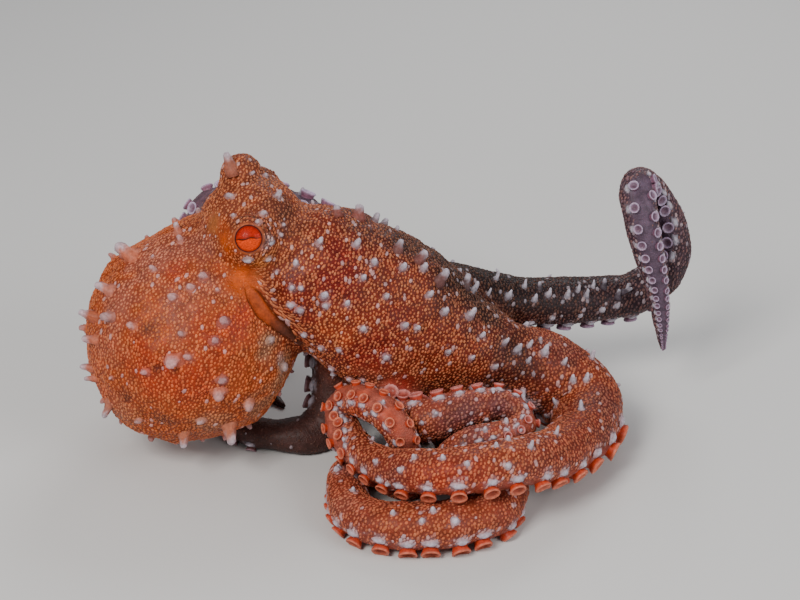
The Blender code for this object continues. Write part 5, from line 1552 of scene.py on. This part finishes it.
# Sections along the opening's middle line, as wide as the opening, turned in at the mouth and down
# the bore.
def makeFunnel():
    points, normals, half = leafLine[:, :3], leafLine[:, 3:6], leafLine[:, 6:7]
    radius = half * spout["flare"]
    line = points - normals * (radius * spout["flat"] + spout["sink"])
    way = unit(line[-1] - line[-12] - spout["inwards"] * normals[-1])
    past = np.linspace(0.1, 1.0, spout["endRings"])[:, None]
    line = np.vstack((line, line[-1] + way * past * spout["beyond"]))
    radius = np.concatenate((radius[:, 0], radius[-1, 0] * (1.0 + spout["widen"] * past[:, 0])))
    inner = slice(-1, -1 - spout["boreRings"], -1)
    narrow = spout["bore"] * np.linspace(1.0, 0.5, spout["boreRings"])
    line, radius = np.vstack((line, line[inner])), np.concatenate((radius, radius[inner] * narrow))
    side = unit(np.cross(way, normals.mean(0)))
    top = np.cross(side, way)
    turn = np.linspace(0.0, 2.0 * math.pi, spout["sides"], endpoint=False)
    circle = side * np.cos(turn)[:, None] + top * np.sin(turn)[:, None] * spout["flat"]
    grid = line[:, None] + circle * radius[:, None, None]
    shape, faces = closedShells([grid])
    piece = newPiece("spout", shape, faces)
    pointOutward(piece)
    along = np.linspace(0.0, 1.0, len(line))
    # Painted shade: darker towards the end that lies under the crown, and darkest down the bore.
    tint = blend(spout["tint"], spout["dusk"], smooth(0.30, 0.60, along)[:, None])
    tint = np.where((along > spout["deepFrom"])[:, None], spout["boreShadow"], tint)
    tint = np.repeat(tint, spout["sides"], 0)
    mottle = 1 + spout["mottle"] * waves(shape, 4.0, 61)
    tint = np.vstack((tint, tint[:1], tint[-1:])) * mottle[:, None]
    finishPiece(piece, np.clip(tint, 0.001, 1.0), papillaFlesh, ["funnel"])


makeFunnel()
print("funnel ready")

# Stage: a pale floor under soft studio light.
stageLook = dict(floorHalf=3.0, floorColour=(0.62, 0.61, 0.60, 1.0), floorRoughness=0.85,
                 world=(0.55, 0.57, 0.60, 1.0), worldStrength=0.55, aim=(0.0, 0.0, 0.06))
# Each light's place in metres, power in watts, width in metres and colour.
lights = dict(keyLight=((-0.55, -0.85, 1.0), 17.0, 0.5, (1.0, 0.97, 0.93)),
              fillLight=((0.9, -0.6, 0.6), 7.0, 0.7, (1.0, 1.0, 1.0)),
              rimLight=((0.3, 0.9, 0.9), 6.0, 0.6, (1.0, 1.0, 1.0)))


def stageFloor():
    mesh = bpy.data.meshes.new("studioFloor")
    half = stageLook["floorHalf"]
    corners = [(-half, -half, 0), (half, -half, 0), (half, half, 0), (-half, half, 0)]
    mesh.from_pydata(corners, [], [(0, 1, 2, 3)])
    floor = addObject("studioFloor", mesh)
    mesh.materials.append(Graph("floorFinish").finish(stageLook["floorColour"],
                                                      Roughness=stageLook["floorRoughness"]))


# A square area light that looks at the middle of the animal.
def softLight(name, place, power, size, colour):
    data = bpy.data.lights.new(name, "AREA")
    data.energy, data.size, data.color = power, size, colour
    lamp = addObject(name, data)
    lamp.location = place
    way = Vector(stageLook["aim"]) - lamp.location
    lamp.rotation_euler = way.to_track_quat("-Z", "Y").to_euler()


stageFloor()
for name, values in lights.items():
    softLight(name, *values)
world = bpy.data.worlds.new("studio")
world.use_nodes = True
sky = world.node_tree.nodes["Background"].inputs
sky["Color"].default_value = stageLook["world"]
sky["Strength"].default_value = stageLook["worldStrength"]
bpy.context.scene.world = world

print("scene ready")
